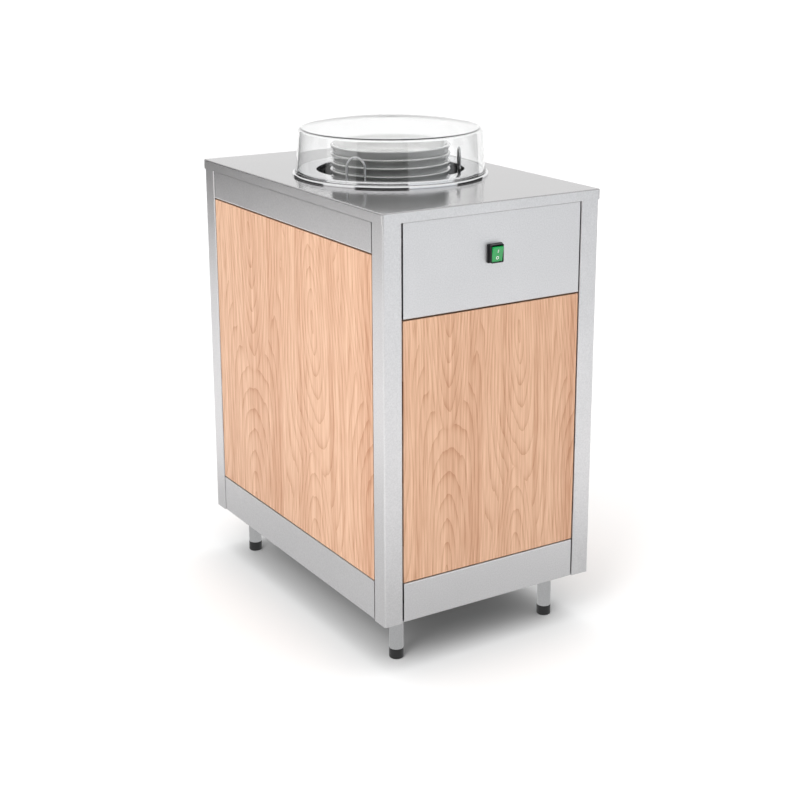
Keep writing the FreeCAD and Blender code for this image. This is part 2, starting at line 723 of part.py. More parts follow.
def spring_hook(bend, coil_end):
    """Last turn of a spring, bent out and through the eye below it."""
    start = Vector(0, HOOK_RADIUS, coil_end + SPRING_WIRE)
    leg_end = Vector(0, HOOK_RADIUS, bend)
    tip_start = Vector(0, -HOOK_RADIUS, bend)
    tip = Vector(0, -HOOK_RADIUS, coil_end - HOOK_OPENING)
    edges = [Part.LineSegment(start, leg_end).toShape(),
             Part.Arc(leg_end, Vector(0, 0, bend - HOOK_RADIUS), tip_start).toShape(),
             Part.LineSegment(tip_start, tip).toShape()]
    return wire_along(edges, SPRING_WIRE, start, UP)


def lift_spring(angle):
    """Extension spring: the outer shape of its close-wound coil, with a hook in each eye."""
    hook_offset = HOOK_SEAT + HOOK_RADIUS
    lower_eye = arm_bottom() + EYE_HEIGHT / 2
    upper_eye = shaft_top() - RING_SHEET - EYE_HEIGHT / 2
    bend = lower_eye + hook_offset
    coil_end = bend + SPRING_LEG
    middle = (lower_eye + upper_eye) / 2
    coil = Part.makeCylinder(SPRING_RADIUS, 2 * (middle - coil_end), Vector(0, 0, coil_end))
    hook = spring_hook(bend, coil_end)
    spring = coil.fuse(hook)
    hook.rotate(Vector(0, 0, middle), Vector(0, 1, 0), 180)
    return spun(moved(spring.fuse(hook), SPRING_CIRCLE, 0, 0), angle)


# Plates

def plate():
    """Deep plate with a steep wall, standing on z = 0."""
    knee = 8.0
    base = 3.0
    floor = 8.0
    rim_outer = PLATE_RADIUS
    rim_inner = PLATE_RADIUS - PLATE_WALL
    outer_corner = rim_outer - (PLATE_HEIGHT - base) / PLATE_SLOPE
    inner_corner = rim_inner - (PLATE_HEIGHT - floor) / PLATE_SLOPE
    foot_inner = PLATE_FOOT_RADIUS - knee
    points = [(0, base, 0), (foot_inner, base, 0), (foot_inner, 0, 0), (PLATE_FOOT_RADIUS, 0, 0),
              (PLATE_FOOT_RADIUS + base, base, 0), (outer_corner, base, knee),
              (rim_outer, PLATE_HEIGHT, PLATE_RIM_ROUND), (rim_inner, PLATE_HEIGHT, PLATE_RIM_ROUND),
              (inner_corner, floor, 2 * knee), (0, floor, 0)]
    return turned(points)


def plate_stack():
    """Nested plates standing on the carrier plate, below the top one."""
    one = plate()
    levels = [carrier_level() + k * PLATE_PITCH for k in range(PLATE_COUNT - 1)]
    return Part.makeCompound([moved(one, 0, 0, level) for level in levels])


def top_plate():
    return moved(plate(), 0, 0, carrier_level() + (PLATE_COUNT - 1) * PLATE_PITCH)


# Heater and wiring

def heater_ends():
    """Where the two tails of the heater pass through the shaft floor."""
    gap = math.radians(HEATER_GAP_ANGLE)
    ends = []
    for side in (-1, 1):
        start = Vector(HEATER_CIRCLE * math.cos(gap), side * HEATER_CIRCLE * math.sin(gap), 0)
        tangent = Vector(math.sin(gap), -side * math.cos(gap), 0)
        place = start + tangent * HEATER_BEND
        ends.append((place.x, place.y))
    return ends


def heater_element():
    """Sheathed heating loop with two tails turned down through the floor."""
    level = SHAFT_BOTTOM + HEATER_HEIGHT
    tail_bottom = SHAFT_BOTTOM - FLOOR_THICKNESS - HEATER_TAIL
    gap = math.radians(HEATER_GAP_ANGLE)
    loops = []
    for side, (x, y) in zip((-1, 1), heater_ends()):
        start = Vector(HEATER_CIRCLE * math.cos(gap), side * HEATER_CIRCLE * math.sin(gap), level)
        tangent = Vector(math.sin(gap), -side * math.cos(gap), 0)
        bend_middle = start + tangent * (HEATER_BEND * math.sin(math.pi / 4))
        bend_middle.z = level - HEATER_BEND * (1 - math.cos(math.pi / 4))
        loops.append((Vector(x, y, tail_bottom), Vector(x, y, level - HEATER_BEND), bend_middle, start))
    first, last = loops
    edges = [Part.LineSegment(first[0], first[1]).toShape(),
             Part.Arc(first[1], first[2], first[3]).toShape(),
             Part.Arc(first[3], Vector(-HEATER_CIRCLE, 0, level), last[3]).toShape(),
             Part.Arc(last[3], last[2], last[1]).toShape(),
             Part.LineSegment(last[1], last[0]).toShape()]
    return wire_along(edges, HEATER_ROD, first[0], UP)


def heater_clips():
    """Posts with a saddle that hold the heating loop above the floor."""
    saddle = 2.0
    post = Part.makeCylinder(CLIP_RADIUS, HEATER_HEIGHT + saddle, Vector(HEATER_CIRCLE, 0, SHAFT_BOTTOM))
    level = SHAFT_BOTTOM + HEATER_HEIGHT
    groove = Part.makeTorus(HEATER_CIRCLE, HEATER_ROD + RUNNING_CLEARANCE, Vector(0, 0, level))
    clip = post.cut(groove)
    pieces = [solid for solid in clip.Solids if solid.CenterOfMass.z < level]
    return Part.makeCompound([spun(pieces[0], angle) for angle in CLIP_ANGLES])


def thermal_cutout():
    """Disc thermostat under the shaft floor."""
    top = SHAFT_BOTTOM - FLOOR_THICKNESS
    cap = 5.0
    body = 16.0
    body_radius = CUTOUT_DISC_RADIUS - 2.0
    points = [(0, top, 0), (CUTOUT_DISC_RADIUS, top, 0), (CUTOUT_DISC_RADIUS, top - cap, EDGE_ROUND),
              (body_radius, top - cap, 0), (body_radius, top - body, EDGE_ROUND), (0, top - body, 0)]
    return moved(turned(points), *CUTOUT_PLACE, 0)


def terminal_box():
    """Open box on the base plate."""
    bottom = BODY_BOTTOM + SHEET + FRAME_TUBE + SHEET
    radius = 4.0
    outside = rounded_plate(BOX_LENGTH, BOX_WIDTH, radius, in_plan, Vector(0, 0, BOX_HEIGHT))
    inside = rounded_plate(BOX_LENGTH - 2 * BOX_WALL, BOX_WIDTH - 2 * BOX_WALL, radius - BOX_WALL, in_plan,
                           Vector(0, 0, BOX_HEIGHT))
    return moved(outside.cut(moved(inside, 0, 0, BOX_WALL)), *BOX_PLACE, bottom)


def terminal_box_lid():
    bottom = BODY_BOTTOM + SHEET + FRAME_TUBE + SHEET + BOX_HEIGHT
    lid = rounded_plate(BOX_LENGTH, BOX_WIDTH, BOX_LID, in_plan, Vector(0, 0, BOX_LID))
    upper_edges = [edge for edge in lid.Edges if min(v.Z for v in edge.Vertexes) > BOX_LID - TINY]
    return moved(lid.makeFillet(EDGE_ROUND, upper_edges), *BOX_PLACE, bottom)


def cable_gland():
    """Gland in the rear lower rail, drawn about Z and laid over to point rearwards."""
    rail_face = BODY_DEPTH / 2 - RECESS
    outside = ROCKER_OUT + ROCKER_HALF_HEIGHT * math.sin(math.radians(ROCKER_TILT))
    collar = 5.0
    inner_nut = 5.0
    tail = 12.0
    cap_radius = GLAND_FLATS / 2 - EDGE_ROUND / 2
    cap_round = 4.0
    nut_bore = GLAND_THREAD - EDGE_ROUND
    points = [(GLAND_BORE, -tail, 0), (GLAND_THREAD, -tail, 0), (GLAND_THREAD, collar, 0),
              (cap_radius, collar, 0), (cap_radius, outside, cap_round), (GLAND_BORE, outside, EDGE_ROUND)]
    gland = turned(points)
    gland = gland.fuse(hexagon(GLAND_FLATS, collar, nut_bore))
    gland = gland.fuse(moved(hexagon(GLAND_FLATS, inner_nut, nut_bore), 0, 0, -SHEET - inner_nut))
    gland = gland.removeSplitter()
    gland.rotate(CENTRE, Vector(1, 0, 0), -90)
    return moved(gland, GLAND_X, rail_face, GLAND_Z)


# Switch, drawn with x across, z up and -y out of the fascia's face

def switch_plate(size_x, size_z, inner, outer, radius):
    """Rounded block from one distance out of the fascia to another."""
    outwards = Vector(0, inner - outer, 0)
    return rounded_plate(size_x, size_z, radius, lambda x, z: Vector(x, -inner, z), outwards)


def set_on_fascia(shape):
    return moved(shape, 0, -BODY_DEPTH / 2 + RECESS, SWITCH_Z)


def pivot_pin(radius, length):
    return Part.makeCylinder(radius, length, Vector(-length / 2, -ROCKER_PIVOT_OUT, 0), Vector(1, 0, 0))


def switch_housing():
    """Flange, collar and body of the switch, with four terminal blades."""
    flange = switch_plate(SWITCH_FLANGE[0], SWITCH_FLANGE[1], 0, SWITCH_FLANGE[2], SWITCH_FLANGE_ROUND)
    face = -SWITCH_FLANGE[2] + TINY
    outer_edges = [edge for edge in flange.Edges if max(v.Y for v in edge.Vertexes) < face]
    flange = flange.makeFillet(EDGE_ROUND, outer_edges)
    collar = switch_plate(SWITCH_COLLAR[0], SWITCH_COLLAR[1], 0, SWITCH_COLLAR[2], SWITCH_COLLAR_ROUND)
    body = switch_plate(SWITCH_BODY[0], SWITCH_BODY[1], -SWITCH_BODY[2], 0, EDGE_ROUND)
    housing = flange.fuse(collar).fuse(body)
    well = switch_plate(*SWITCH_OPENING, -SWITCH_WELL_DEPTH, SWITCH_COLLAR[2], EDGE_ROUND)
    housing = housing.cut(well).cut(pivot_pin(ROCKER_PIN + RUNNING_CLEARANCE, SWITCH_BODY[0]))
    blade = block(BLADE[0], BLADE[2], BLADE[1], 0, SWITCH_BODY[2] + BLADE[2] / 2, -BLADE[1] / 2)
    for x in (-BLADE_OFFSET[0], BLADE_OFFSET[0]):
        for z in (-BLADE_OFFSET[1], BLADE_OFFSET[1]):
            housing = housing.fuse(moved(blade, x, 0, z))
    return set_on_fascia(housing.removeSplitter())


def switch_rocker():
    """Rocker with a dished face, its lower half pressed in."""
    waist = 6.0
    keel = 1.0
    rim = ROCKER_OUT - ROCKER_SKIRT
    points = [(-ROCKER_OUT, ROCKER_HALF_HEIGHT, EDGE_ROUND), (-ROCKER_OUT + ROCKER_DIP, 0, 0),
              (-ROCKER_OUT, -ROCKER_HALF_HEIGHT, EDGE_ROUND), (-rim, -ROCKER_HALF_HEIGHT, 0),
              (-keel, -waist, EDGE_ROUND), (-keel, waist, EDGE_ROUND), (-rim, ROCKER_HALF_HEIGHT, 0)]
    rocker = outline_face(points, in_side_view).extrude(Vector(ROCKER_WIDTH, 0, 0))
    rocker.translate(Vector(-ROCKER_WIDTH / 2, 0, 0))
    pin_length = SWITCH_BODY[0] - 2 * SWITCH_CUTOUT_CLEARANCE
    rocker = rocker.fuse(pivot_pin(ROCKER_PIN, pin_length)).removeSplitter()
    rocker.rotate(Vector(0, -ROCKER_PIVOT_OUT, 0), Vector(1, 0, 0), ROCKER_TILT)
    return set_on_fascia(rocker)


def all_parts():
    """Every node's name and its shape."""
    lower = (BODY_BOTTOM, BODY_BOTTOM + LOWER_RAIL)
    parts = {
        "countertop": countertop(),
        "counter_board": counter_board(),
        "rim_ring": rim_ring(),
        "dome_cover": dome_cover(),
        "front_fascia": front_fascia(),
        "rear_fascia": rail("rear", BODY_TOP - FASCIA, BODY_TOP),
        "left_upper_rail": rail("left", BODY_TOP - UPPER_RAIL, BODY_TOP),
        "right_upper_rail": rail("right", BODY_TOP - UPPER_RAIL, BODY_TOP),
        "front_lower_rail": rail("front", *lower),
        "rear_lower_rail": rear_lower_rail(),
        "left_lower_rail": rail("left", *lower),
        "right_lower_rail": rail("right", *lower),
        "front_panel": panel("front", BODY_TOP - FASCIA),
        "rear_panel": panel("rear", BODY_TOP - FASCIA),
        "left_panel": panel("left", BODY_TOP - UPPER_RAIL),
        "right_panel": panel("right", BODY_TOP - UPPER_RAIL),
        "base_frame": base_frame(),
        "top_frame": top_frame(),
        "frame_uprights": frame_uprights(),
        "base_plate": base_plate(),
        "shaft_tube": shaft_tube(),
        "shaft_floor": shaft_floor(),
        "rod_nuts": rod_nuts(),
        "carrier_plate": carrier_plate(),
        "carrier_spider": carrier_spider(),
        "carrier_bushes": carrier_bushes(),
        "plate_stack": plate_stack(),
        "top_plate": top_plate(),
        "heater_element": heater_element(),
        "heater_clips": heater_clips(),
        "thermal_cutout": thermal_cutout(),
        "terminal_box": terminal_box(),
        "terminal_box_lid": terminal_box_lid(),
        "cable_gland": cable_gland(),
        "switch_housing": switch_housing(),
        "switch_rocker": switch_rocker(),
    }
    per_corner = {"corner_post": corner_post(), "leg": leg(), "foot": foot()}
    for name, shape in per_corner.items():
        for corner in CORNERS:
            parts[f"{name}_{corner}"] = at_corner(shape, corner)
    for name, shape in {"leg_nuts": leg_nut(), "leg_inserts": leg_insert()}.items():
        parts[name] = Part.makeCompound([at_corner(shape, corner) for corner in CORNERS])
    for number, angle in enumerate(ARM_ANGLES, 1):
        parts[f"guide_rod_{number}"] = guide_rod(angle)
        parts[f"lift_spring_{number}"] = lift_spring(angle)
    for number, angle in enumerate(GUIDE_ANGLES, 1):
        parts[f"plate_guide_{number}"] = plate_guide(angle)
    return parts


os.makedirs("parts", exist_ok=True)
for node, shape in all_parts().items():
    for solid in shape.Solids:
        if not solid.isValid() or solid.Volume <= 0:
            print("invalid solid in", node, solid.Volume)
    shape.exportStep(f"parts/{node}.step")
    box = shape.BoundBox
    size = f"{box.XLength:.1f} x {box.YLength:.1f} x {box.ZLength:.1f} mm"
    print(f"{node}: {len(shape.Solids)} solid, {shape.Volume / 1000:.1f} cm3, {size}, from z {box.ZMin:.1f}")
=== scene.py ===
# %% [markdown]
# A plate dispenser for a serving line: a steel cabinet with wood-decor panels, a round well in its
# counter, a stack of plates that springs lift, and a clear cover over them. The frame holds the pieces
# at their true size. This script gives them their finishes, and makes again the turned, wound and
# moulded pieces that need a smoother surface than the frame's triangles have.

# %% Load the frame
import json
import math

import bmesh
import bpy
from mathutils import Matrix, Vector


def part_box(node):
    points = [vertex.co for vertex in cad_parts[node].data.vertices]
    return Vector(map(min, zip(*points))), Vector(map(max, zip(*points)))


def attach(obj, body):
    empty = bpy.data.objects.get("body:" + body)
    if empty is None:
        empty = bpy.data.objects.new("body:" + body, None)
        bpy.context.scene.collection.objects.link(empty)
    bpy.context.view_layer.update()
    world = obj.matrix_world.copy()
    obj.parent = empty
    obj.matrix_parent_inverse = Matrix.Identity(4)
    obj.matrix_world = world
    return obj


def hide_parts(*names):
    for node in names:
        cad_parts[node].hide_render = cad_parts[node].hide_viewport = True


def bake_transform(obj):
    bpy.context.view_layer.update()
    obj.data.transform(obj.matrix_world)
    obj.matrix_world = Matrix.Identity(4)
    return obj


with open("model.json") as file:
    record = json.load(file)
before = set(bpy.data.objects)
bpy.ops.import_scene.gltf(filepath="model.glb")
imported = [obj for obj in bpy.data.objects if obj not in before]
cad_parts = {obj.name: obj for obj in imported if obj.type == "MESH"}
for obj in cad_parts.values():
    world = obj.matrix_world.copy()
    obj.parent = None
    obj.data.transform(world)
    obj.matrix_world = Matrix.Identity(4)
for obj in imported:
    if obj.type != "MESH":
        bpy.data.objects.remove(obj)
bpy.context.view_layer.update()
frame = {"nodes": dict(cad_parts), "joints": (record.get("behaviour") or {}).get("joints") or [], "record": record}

nodes = frame["nodes"]
scene = bpy.context.scene
scene.view_settings.view_transform = "Standard"

# %% [markdown]
# The camera stands where the picture was taken from: to the left of the front, above the counter.
# Its sensor is shifted, because the lens does not point at the middle of the picture. It could be
# aimed by eye, but a fit to the cabinet's corners gives the same place every time.

# %% Camera
CAMERA_PLACE = (-1.5767, -2.6009, 1.3988)
CAMERA_YAW = 32.36
CAMERA_PITCH = 15.1
IMAGE_WIDTH = 800
FOCAL_PIXELS = 1501.9
MIDDLE_PIXEL = (420, 325)

camera_data = bpy.data.cameras.new("camera")
camera_data.sensor_fit = "HORIZONTAL"
camera_data.lens = FOCAL_PIXELS * camera_data.sensor_width / IMAGE_WIDTH
camera_data.shift_x = 0.5 - MIDDLE_PIXEL[0] / IMAGE_WIDTH
camera_data.shift_y = MIDDLE_PIXEL[1] / IMAGE_WIDTH - 0.5
camera = bpy.data.objects.new("camera", camera_data)
camera.location = CAMERA_PLACE
camera.rotation_euler = (math.radians(90 - CAMERA_PITCH), 0, math.radians(-CAMERA_YAW))
scene.collection.objects.link(camera)
scene.camera = camera
print("camera: lens", round(camera_data.lens, 1), "mm, shift", round(camera_data.shift_y, 3))

# %% [markdown]
# Materials are built from nodes. A few small helpers keep the cells short: they add and join nodes,
# start a group that several finishes can share, and add noise.

# %% Node helpers
FLOAT = "NodeSocketFloat"
VECTOR = "NodeSocketVector"


def add_node(tree, kind, **options):
    node = tree.nodes.new(kind)
    for option, value in options.items():
        setattr(node, option, value)
    return node


def join(tree, source, target):
    tree.links.new(source, target)


def start_group(name, inputs, outputs):
    """New shader group with named sockets: returns its tree and the two ends."""
    tree = bpy.data.node_groups.new(name, "ShaderNodeTree")
    for socket, kind in inputs.items():
        tree.interface.new_socket(socket, in_out="INPUT", socket_type=kind)
    for socket, kind in outputs.items():
        tree.interface.new_socket(socket, in_out="OUTPUT", socket_type=kind)
    return tree, add_node(tree, "NodeGroupInput"), add_node(tree, "NodeGroupOutput")


def add_noise(tree, place, scale, detail=2.0):
    noise = add_node(tree, "ShaderNodeTexNoise")
    noise.inputs["Scale"].default_value = scale
    noise.inputs["Detail"].default_value = detail
    join(tree, place, noise.inputs["Vector"])
    return noise


# %% [markdown]
# Brushed sheet is drawn over an abrasive belt, which leaves fine streaks one way. A noise that is
# squeezed across the belt and stretched along it gives those streaks, and a slow noise gives the
# soft clouding of handled metal. A third noise makes the fine specks of a ground face. Several
# finishes use them, so they make one shared group.

# %% Brushed grain group
STREAK_DETAIL = 4.0
STREAK_ROUGHNESS = 0.65
CLOUD_SCALE = 5.0
CLOUD_DETAIL = 3.0
SPECK_SCALE = 380.0
SPECK_DETAIL = 1.0

grain_group, grain_in, grain_out = start_group(
    "Brushed grain",
    {"Coordinate": VECTOR, "Stretch": VECTOR},
    {"Streak": FLOAT, "Mottle": FLOAT, "Speck": FLOAT})
grain_place = grain_in.outputs["Coordinate"]
squeeze = add_node(grain_group, "ShaderNodeVectorMath", operation="MULTIPLY")
join(grain_group, grain_place, squeeze.inputs[0])
join(grain_group, grain_in.outputs["Stretch"], squeeze.inputs[1])
streaks = add_noise(grain_group, squeeze.outputs["Vector"], 1.0, STREAK_DETAIL)
streaks.inputs["Roughness"].default_value = STREAK_ROUGHNESS
clouds = add_noise(grain_group, grain_place, CLOUD_SCALE, CLOUD_DETAIL)
specks = add_noise(grain_group, grain_place, SPECK_SCALE, SPECK_DETAIL)
for noise, socket in ((streaks, "Streak"), (clouds, "Mottle"), (specks, "Speck")):
    join(grain_group, noise.outputs["Fac"], grain_out.inputs[socket])
print("group:", grain_group.name)

# %% [markdown]
# The finishes need a few more helpers. They start a material, place a group in it, add relief, and
# map, mix or calculate values. What maps, mixes or calculates returns a socket, so that one call can
# feed the next.

# %% Material helpers
WHITE = (1, 1, 1)


def start_material(name):
    """New material with an object coordinate and a Principled shader wired to the output."""
    material = bpy.data.materials.new(name)
    material.use_nodes = True
    tree = material.node_tree
    tree.nodes.clear()
    output = add_node(tree, "ShaderNodeOutputMaterial")
    shader = add_node(tree, "ShaderNodeBsdfPrincipled")
    place = add_node(tree, "ShaderNodeTexCoord")
    join(tree, shader.outputs["BSDF"], output.inputs["Surface"])
    return material, tree, shader, place.outputs["Object"]


def place_group(tree, group):
    return add_node(tree, "ShaderNodeGroup", node_tree=group)


def add_relief(tree, shader, height, strength, depth):
    """Bumps the shader's surface by a height value."""
    relief = add_node(tree, "ShaderNodeBump")
    relief.inputs["Strength"].default_value = strength
    relief.inputs["Distance"].default_value = depth
    join(tree, height, relief.inputs["Height"])
    join(tree, relief.outputs["Normal"], shader.inputs["Normal"])


def spread(tree, value, low, high):
    """Maps a 0 to 1 value to the range from low to high."""
    node = add_node(tree, "ShaderNodeMapRange")
    node.inputs["To Min"].default_value = low
    node.inputs["To Max"].default_value = high
    join(tree, value, node.inputs["Value"])
    return node.outputs["Result"]


def between(tree, factor, first, second):
    """Colour that goes from first to second as factor goes from 0 to 1."""
    node = add_node(tree, "ShaderNodeMix", data_type="RGBA")
    node.inputs["A"].default_value = (*first, 1)
    node.inputs["B"].default_value = (*second, 1)
    join(tree, factor, node.inputs["Factor"])
    return node.outputs["Result"]


def multiplied(tree, first, second):
    """Product of two colours."""
    node = add_node(tree, "ShaderNodeMix", data_type="RGBA", blend_type="MULTIPLY")
    node.inputs["Factor"].default_value = 1.0
    join(tree, first, node.inputs["A"])
    join(tree, second, node.inputs["B"])
    return node.outputs["Result"]


def calculate(tree, operation, first, second=None):
    node = add_node(tree, "ShaderNodeMath", operation=operation)
    for socket, value in zip(node.inputs, (first, second)):
        if isinstance(value, (int, float)):
            socket.default_value = value
        elif value is not None:
            join(tree, value, socket)
    return node.outputs["Value"]


def height_of(tree, place):
    axes = add_node(tree, "ShaderNodeSeparateXYZ")
    join(tree, place, axes.inputs["Vector"])
    return axes.outputs["Z"]


def shaded(colour, share):
    """A lighter or darker share of a colour, at most white."""
    return [min(channel * share, 1) for channel in colour]


# %% [markdown]
# Every steel piece shares one recipe, with its own tone, gloss and brushing direction. The streaks
# move the roughness a little and raise a very small bump. A bump alone would look like scratches,
# and roughness alone would look printed, so both are kept low. The counter is smoother on top than
# on its folded edges, and a third darker there as painted shade.

# %% Steel finishes
ALONG_Z = (900, 900, 14)
ALONG_X = (14, 900, 900)
ALONG_Y = (900, 14, 900)
EVEN = (600, 600, 600)
SATIN = 0.42
FOLD_DEPTH = 0.002
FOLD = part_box("countertop")[1].z - FOLD_DEPTH
# Painted shade: the share of the tone that the counter top keeps above the fold.
TOP_SHADE = 0.66
SPECKS = 0.12
MOTTLE_DARK = 0.95
MOTTLE_LIGHT = 1.04
STREAK_DEPTH = 0.0005


def steel(name, tone, roughness, stretch, bump=0.02, swing=0.06, fold=None):
    """Brushed steel. Where a fold height is given, it is smoother above that height and darkened there by painted
    shade.
    """
    material, tree, shader, place = start_material(name)
    grain = place_group(tree, grain_group)
    grain.inputs["Stretch"].default_value = stretch
    join(tree, place, grain.inputs["Coordinate"])
    mottle = between(tree, grain.outputs["Mottle"], shaded(tone, MOTTLE_DARK), shaded(tone, MOTTLE_LIGHT))
    flecks = between(tree, grain.outputs["Speck"], (1 - SPECKS,) * 3, (1 + SPECKS,) * 3)
    colour = multiplied(tree, mottle, flecks)
    gloss = spread(tree, grain.outputs["Streak"], roughness - swing, roughness + swing)
    if fold:
        folded = calculate(tree, "LESS_THAN", height_of(tree, place), fold)
        gloss = calculate(tree, "ADD", gloss, calculate(tree, "MULTIPLY", folded, SATIN - roughness))
        # Painted shade: above the fold, the counter top's colour is darkened by the top shade share.
        colour = multiplied(tree, colour, between(tree, folded, (TOP_SHADE,) * 3, WHITE))
    join(tree, colour, shader.inputs["Base Color"])
    join(tree, gloss, shader.inputs["Roughness"])
    add_relief(tree, shader, grain.outputs["Streak"], bump, STREAK_DEPTH)
    shader.inputs["Metallic"].default_value = 1.0
    return material


SATIN_TONE = (0.70, 0.69, 0.695)
# Painted shade: the legs take a darker copy of the satin tone.
SHADED_LEG_TONE = (0.54, 0.54, 0.545)
BRIGHT_TONE = (0.78, 0.78, 0.79)
# Painted shade: the guide wire takes a darker copy of the polished tone than the rim ring.
SHADED_WIRE_TONE = (0.54, 0.545, 0.55)
MILL_TONE = (0.56, 0.57, 0.58)
SPRING_TONE = (0.50, 0.50, 0.51)
SHEATH_TONE = (0.34, 0.30, 0.27)
finishes = {
    "posts": steel("satin_posts", SATIN_TONE, SATIN, ALONG_Z),
    "rails_x": steel("satin_rails_front", SATIN_TONE, SATIN, ALONG_X),
    "rails_y": steel("satin_rails_side", SATIN_TONE, SATIN, ALONG_Y),
    "counter": steel("brushed_counter", SATIN_TONE, 0.13, ALONG_Y, swing=0.03, fold=FOLD),
    # Painted shade: the satin steel of the legs, in a darker copy.
    "legs": steel("satin_legs_shaded", SHADED_LEG_TONE, 0.34, ALONG_Z),
    "polished": steel("polished_rim", BRIGHT_TONE, 0.08, EVEN, bump=0.0, swing=0.02),
    # Painted shade: the polished steel of the guide wire, in a darker copy.
    "wire": steel("polished_wire_shaded", SHADED_WIRE_TONE, 0.14, EVEN, bump=0.0, swing=0.03),
    "mill": steel("mill_steel", MILL_TONE, 0.45, ALONG_Z, bump=0.03),
    "spring": steel("spring_wire", SPRING_TONE, 0.30, EVEN),
    "sheath": steel("heat_tinted_sheath", SHEATH_TONE, 0.42, EVEN),
}
print("steel finishes:", len(finishes))

# %% [markdown]
# The panels carry a pale wood decor with tall arched figures. Wood is drawn as growth rings: the
# distance from a heart line behind the board gives the rings, and because that line slopes towards
# the face and away again, the rings close into long arches. The heart lines repeat across the board,
# and a slow sway puts the arches of one line low and those of the next high. Streaks of three widths
# stand for bands, fibres and pores. A wave texture would be shorter to write, but its arches are all
# alike. The decor is a print, so all panels show the same figure, mirrored and wider on the sides.

# %% Wood grain group
HEART_SPACING = 0.08
HEART_OFFSET = 0.10
HEART_LEVEL = 0.40
HEART_SWAY = 0.22
HEART_RUN = 0.30
HEART_SLOPE = 0.17
HEART_WANDER = 0.07
HEART_SHIFT = 0.3
RINGS_PER_METRE = 125.0
RING_RIPPLE = 0.006
EARLY_SHADE = 0.37
LATE_SHADE = 0.46
LATE_SHARPNESS = 5.0
PORE_WEIGHT = 1.3
FIBRE_WEIGHT = 1.1
BAND_WEIGHT = 1.1
# Each grain is a noise: its scale across the board, its scale along it, and its detail.
WANDER_GRAIN = (7.0, 1.6, 2.0)
SHIFT_GRAIN = (5.0, 1.5, 1.0)
RIPPLE_GRAIN = (60.0, 6.0, 3.0)
PORE_GRAIN = (420.0, 14.0, 3.0)
FIBRE_GRAIN = (180.0, 1.4, 3.0)
BAND_GRAIN = (18.0, 0.4, 2.0)

wood_group, wood_in, wood_out = start_group(
    "Wood grain", {"Across": FLOAT, "Along": FLOAT, "Seed": FLOAT}, {"Shade": FLOAT, "Tint": FLOAT})
across_board = wood_in.outputs["Across"]
along_board = wood_in.outputs["Along"]


def wood(operation, first, second=None):
    return calculate(wood_group, operation, first, second)


def board_noise(across_scale, along_scale, detail):
    """Noise on the board, stretched by its two scales."""
    spot = add_node(wood_group, "ShaderNodeCombineXYZ")
    join(wood_group, wood("MULTIPLY", across_board, across_scale), spot.inputs["X"])
    join(wood_group, wood("MULTIPLY", along_board, along_scale), spot.inputs["Y"])
    join(wood_group, wood_in.outputs["Seed"], spot.inputs["Z"])
    return add_noise(wood_group, spot.outputs["Vector"], 1.0, detail).outputs["Fac"]


def centred(value, weight):
    """Noise about zero, times a weight."""
    return wood("MULTIPLY", wood("SUBTRACT", value, 0.5), weight)


first_heart = wood("ADD", across_board, HEART_OFFSET)
wander = centred(board_noise(*WANDER_GRAIN), HEART_WANDER)
from_heart = wood("PINGPONG", wood("ADD", first_heart, wander), HEART_SPACING)
sway = wood("COSINE", wood("MULTIPLY", first_heart, math.pi / (2 * HEART_SPACING)))
drift = centred(board_noise(*SHIFT_GRAIN), HEART_SHIFT)
heart_shift = wood("ADD", wood("MULTIPLY", sway, HEART_SWAY), drift)
heart_place = wood("SUBTRACT", wood("ADD", along_board, heart_shift), HEART_LEVEL)
heart_depth = wood("MULTIPLY", wood("PINGPONG", heart_place, HEART_RUN), HEART_SLOPE)
ring_radius = wood("SQRT", wood("ADD", wood("POWER", from_heart, 2.0), wood("POWER", heart_depth, 2.0)))
ripple = wood("MULTIPLY", board_noise(*RIPPLE_GRAIN), RING_RIPPLE)
ring_count = wood("MULTIPLY", wood("ADD", ring_radius, ripple), RINGS_PER_METRE)
late_wood = wood("POWER", wood("FRACT", ring_count), LATE_SHARPNESS)
pores = board_noise(*PORE_GRAIN)
fibres = board_noise(*FIBRE_GRAIN)
bands = board_noise(*BAND_GRAIN)
shade = wood("ADD", wood("MULTIPLY", late_wood, LATE_SHADE), EARLY_SHADE)
for streak, weight in ((pores, PORE_WEIGHT), (fibres, FIBRE_WEIGHT), (bands, BAND_WEIGHT)):
    shade = wood("ADD", shade, centred(streak, weight))
join(wood_group, shade, wood_out.inputs["Shade"])
join(wood_group, bands, wood_out.inputs["Tint"])
print("group:", wood_group.name)

# %% Wood decor
WOOD_LIGHT = (0.85, 0.555, 0.385)
WOOD_DARK = (0.53, 0.262, 0.15)
WOOD_WARM = (0.93, 0.90, 0.86)
WOOD_SEED = 1.7
WOOD_GLOSS = (0.42, 0.55)
WOOD_SPECULAR = 0.3
WOOD_BUMP = 0.06
PORE_DEPTH = 0.0004
SIDE_DRAW = -0.6


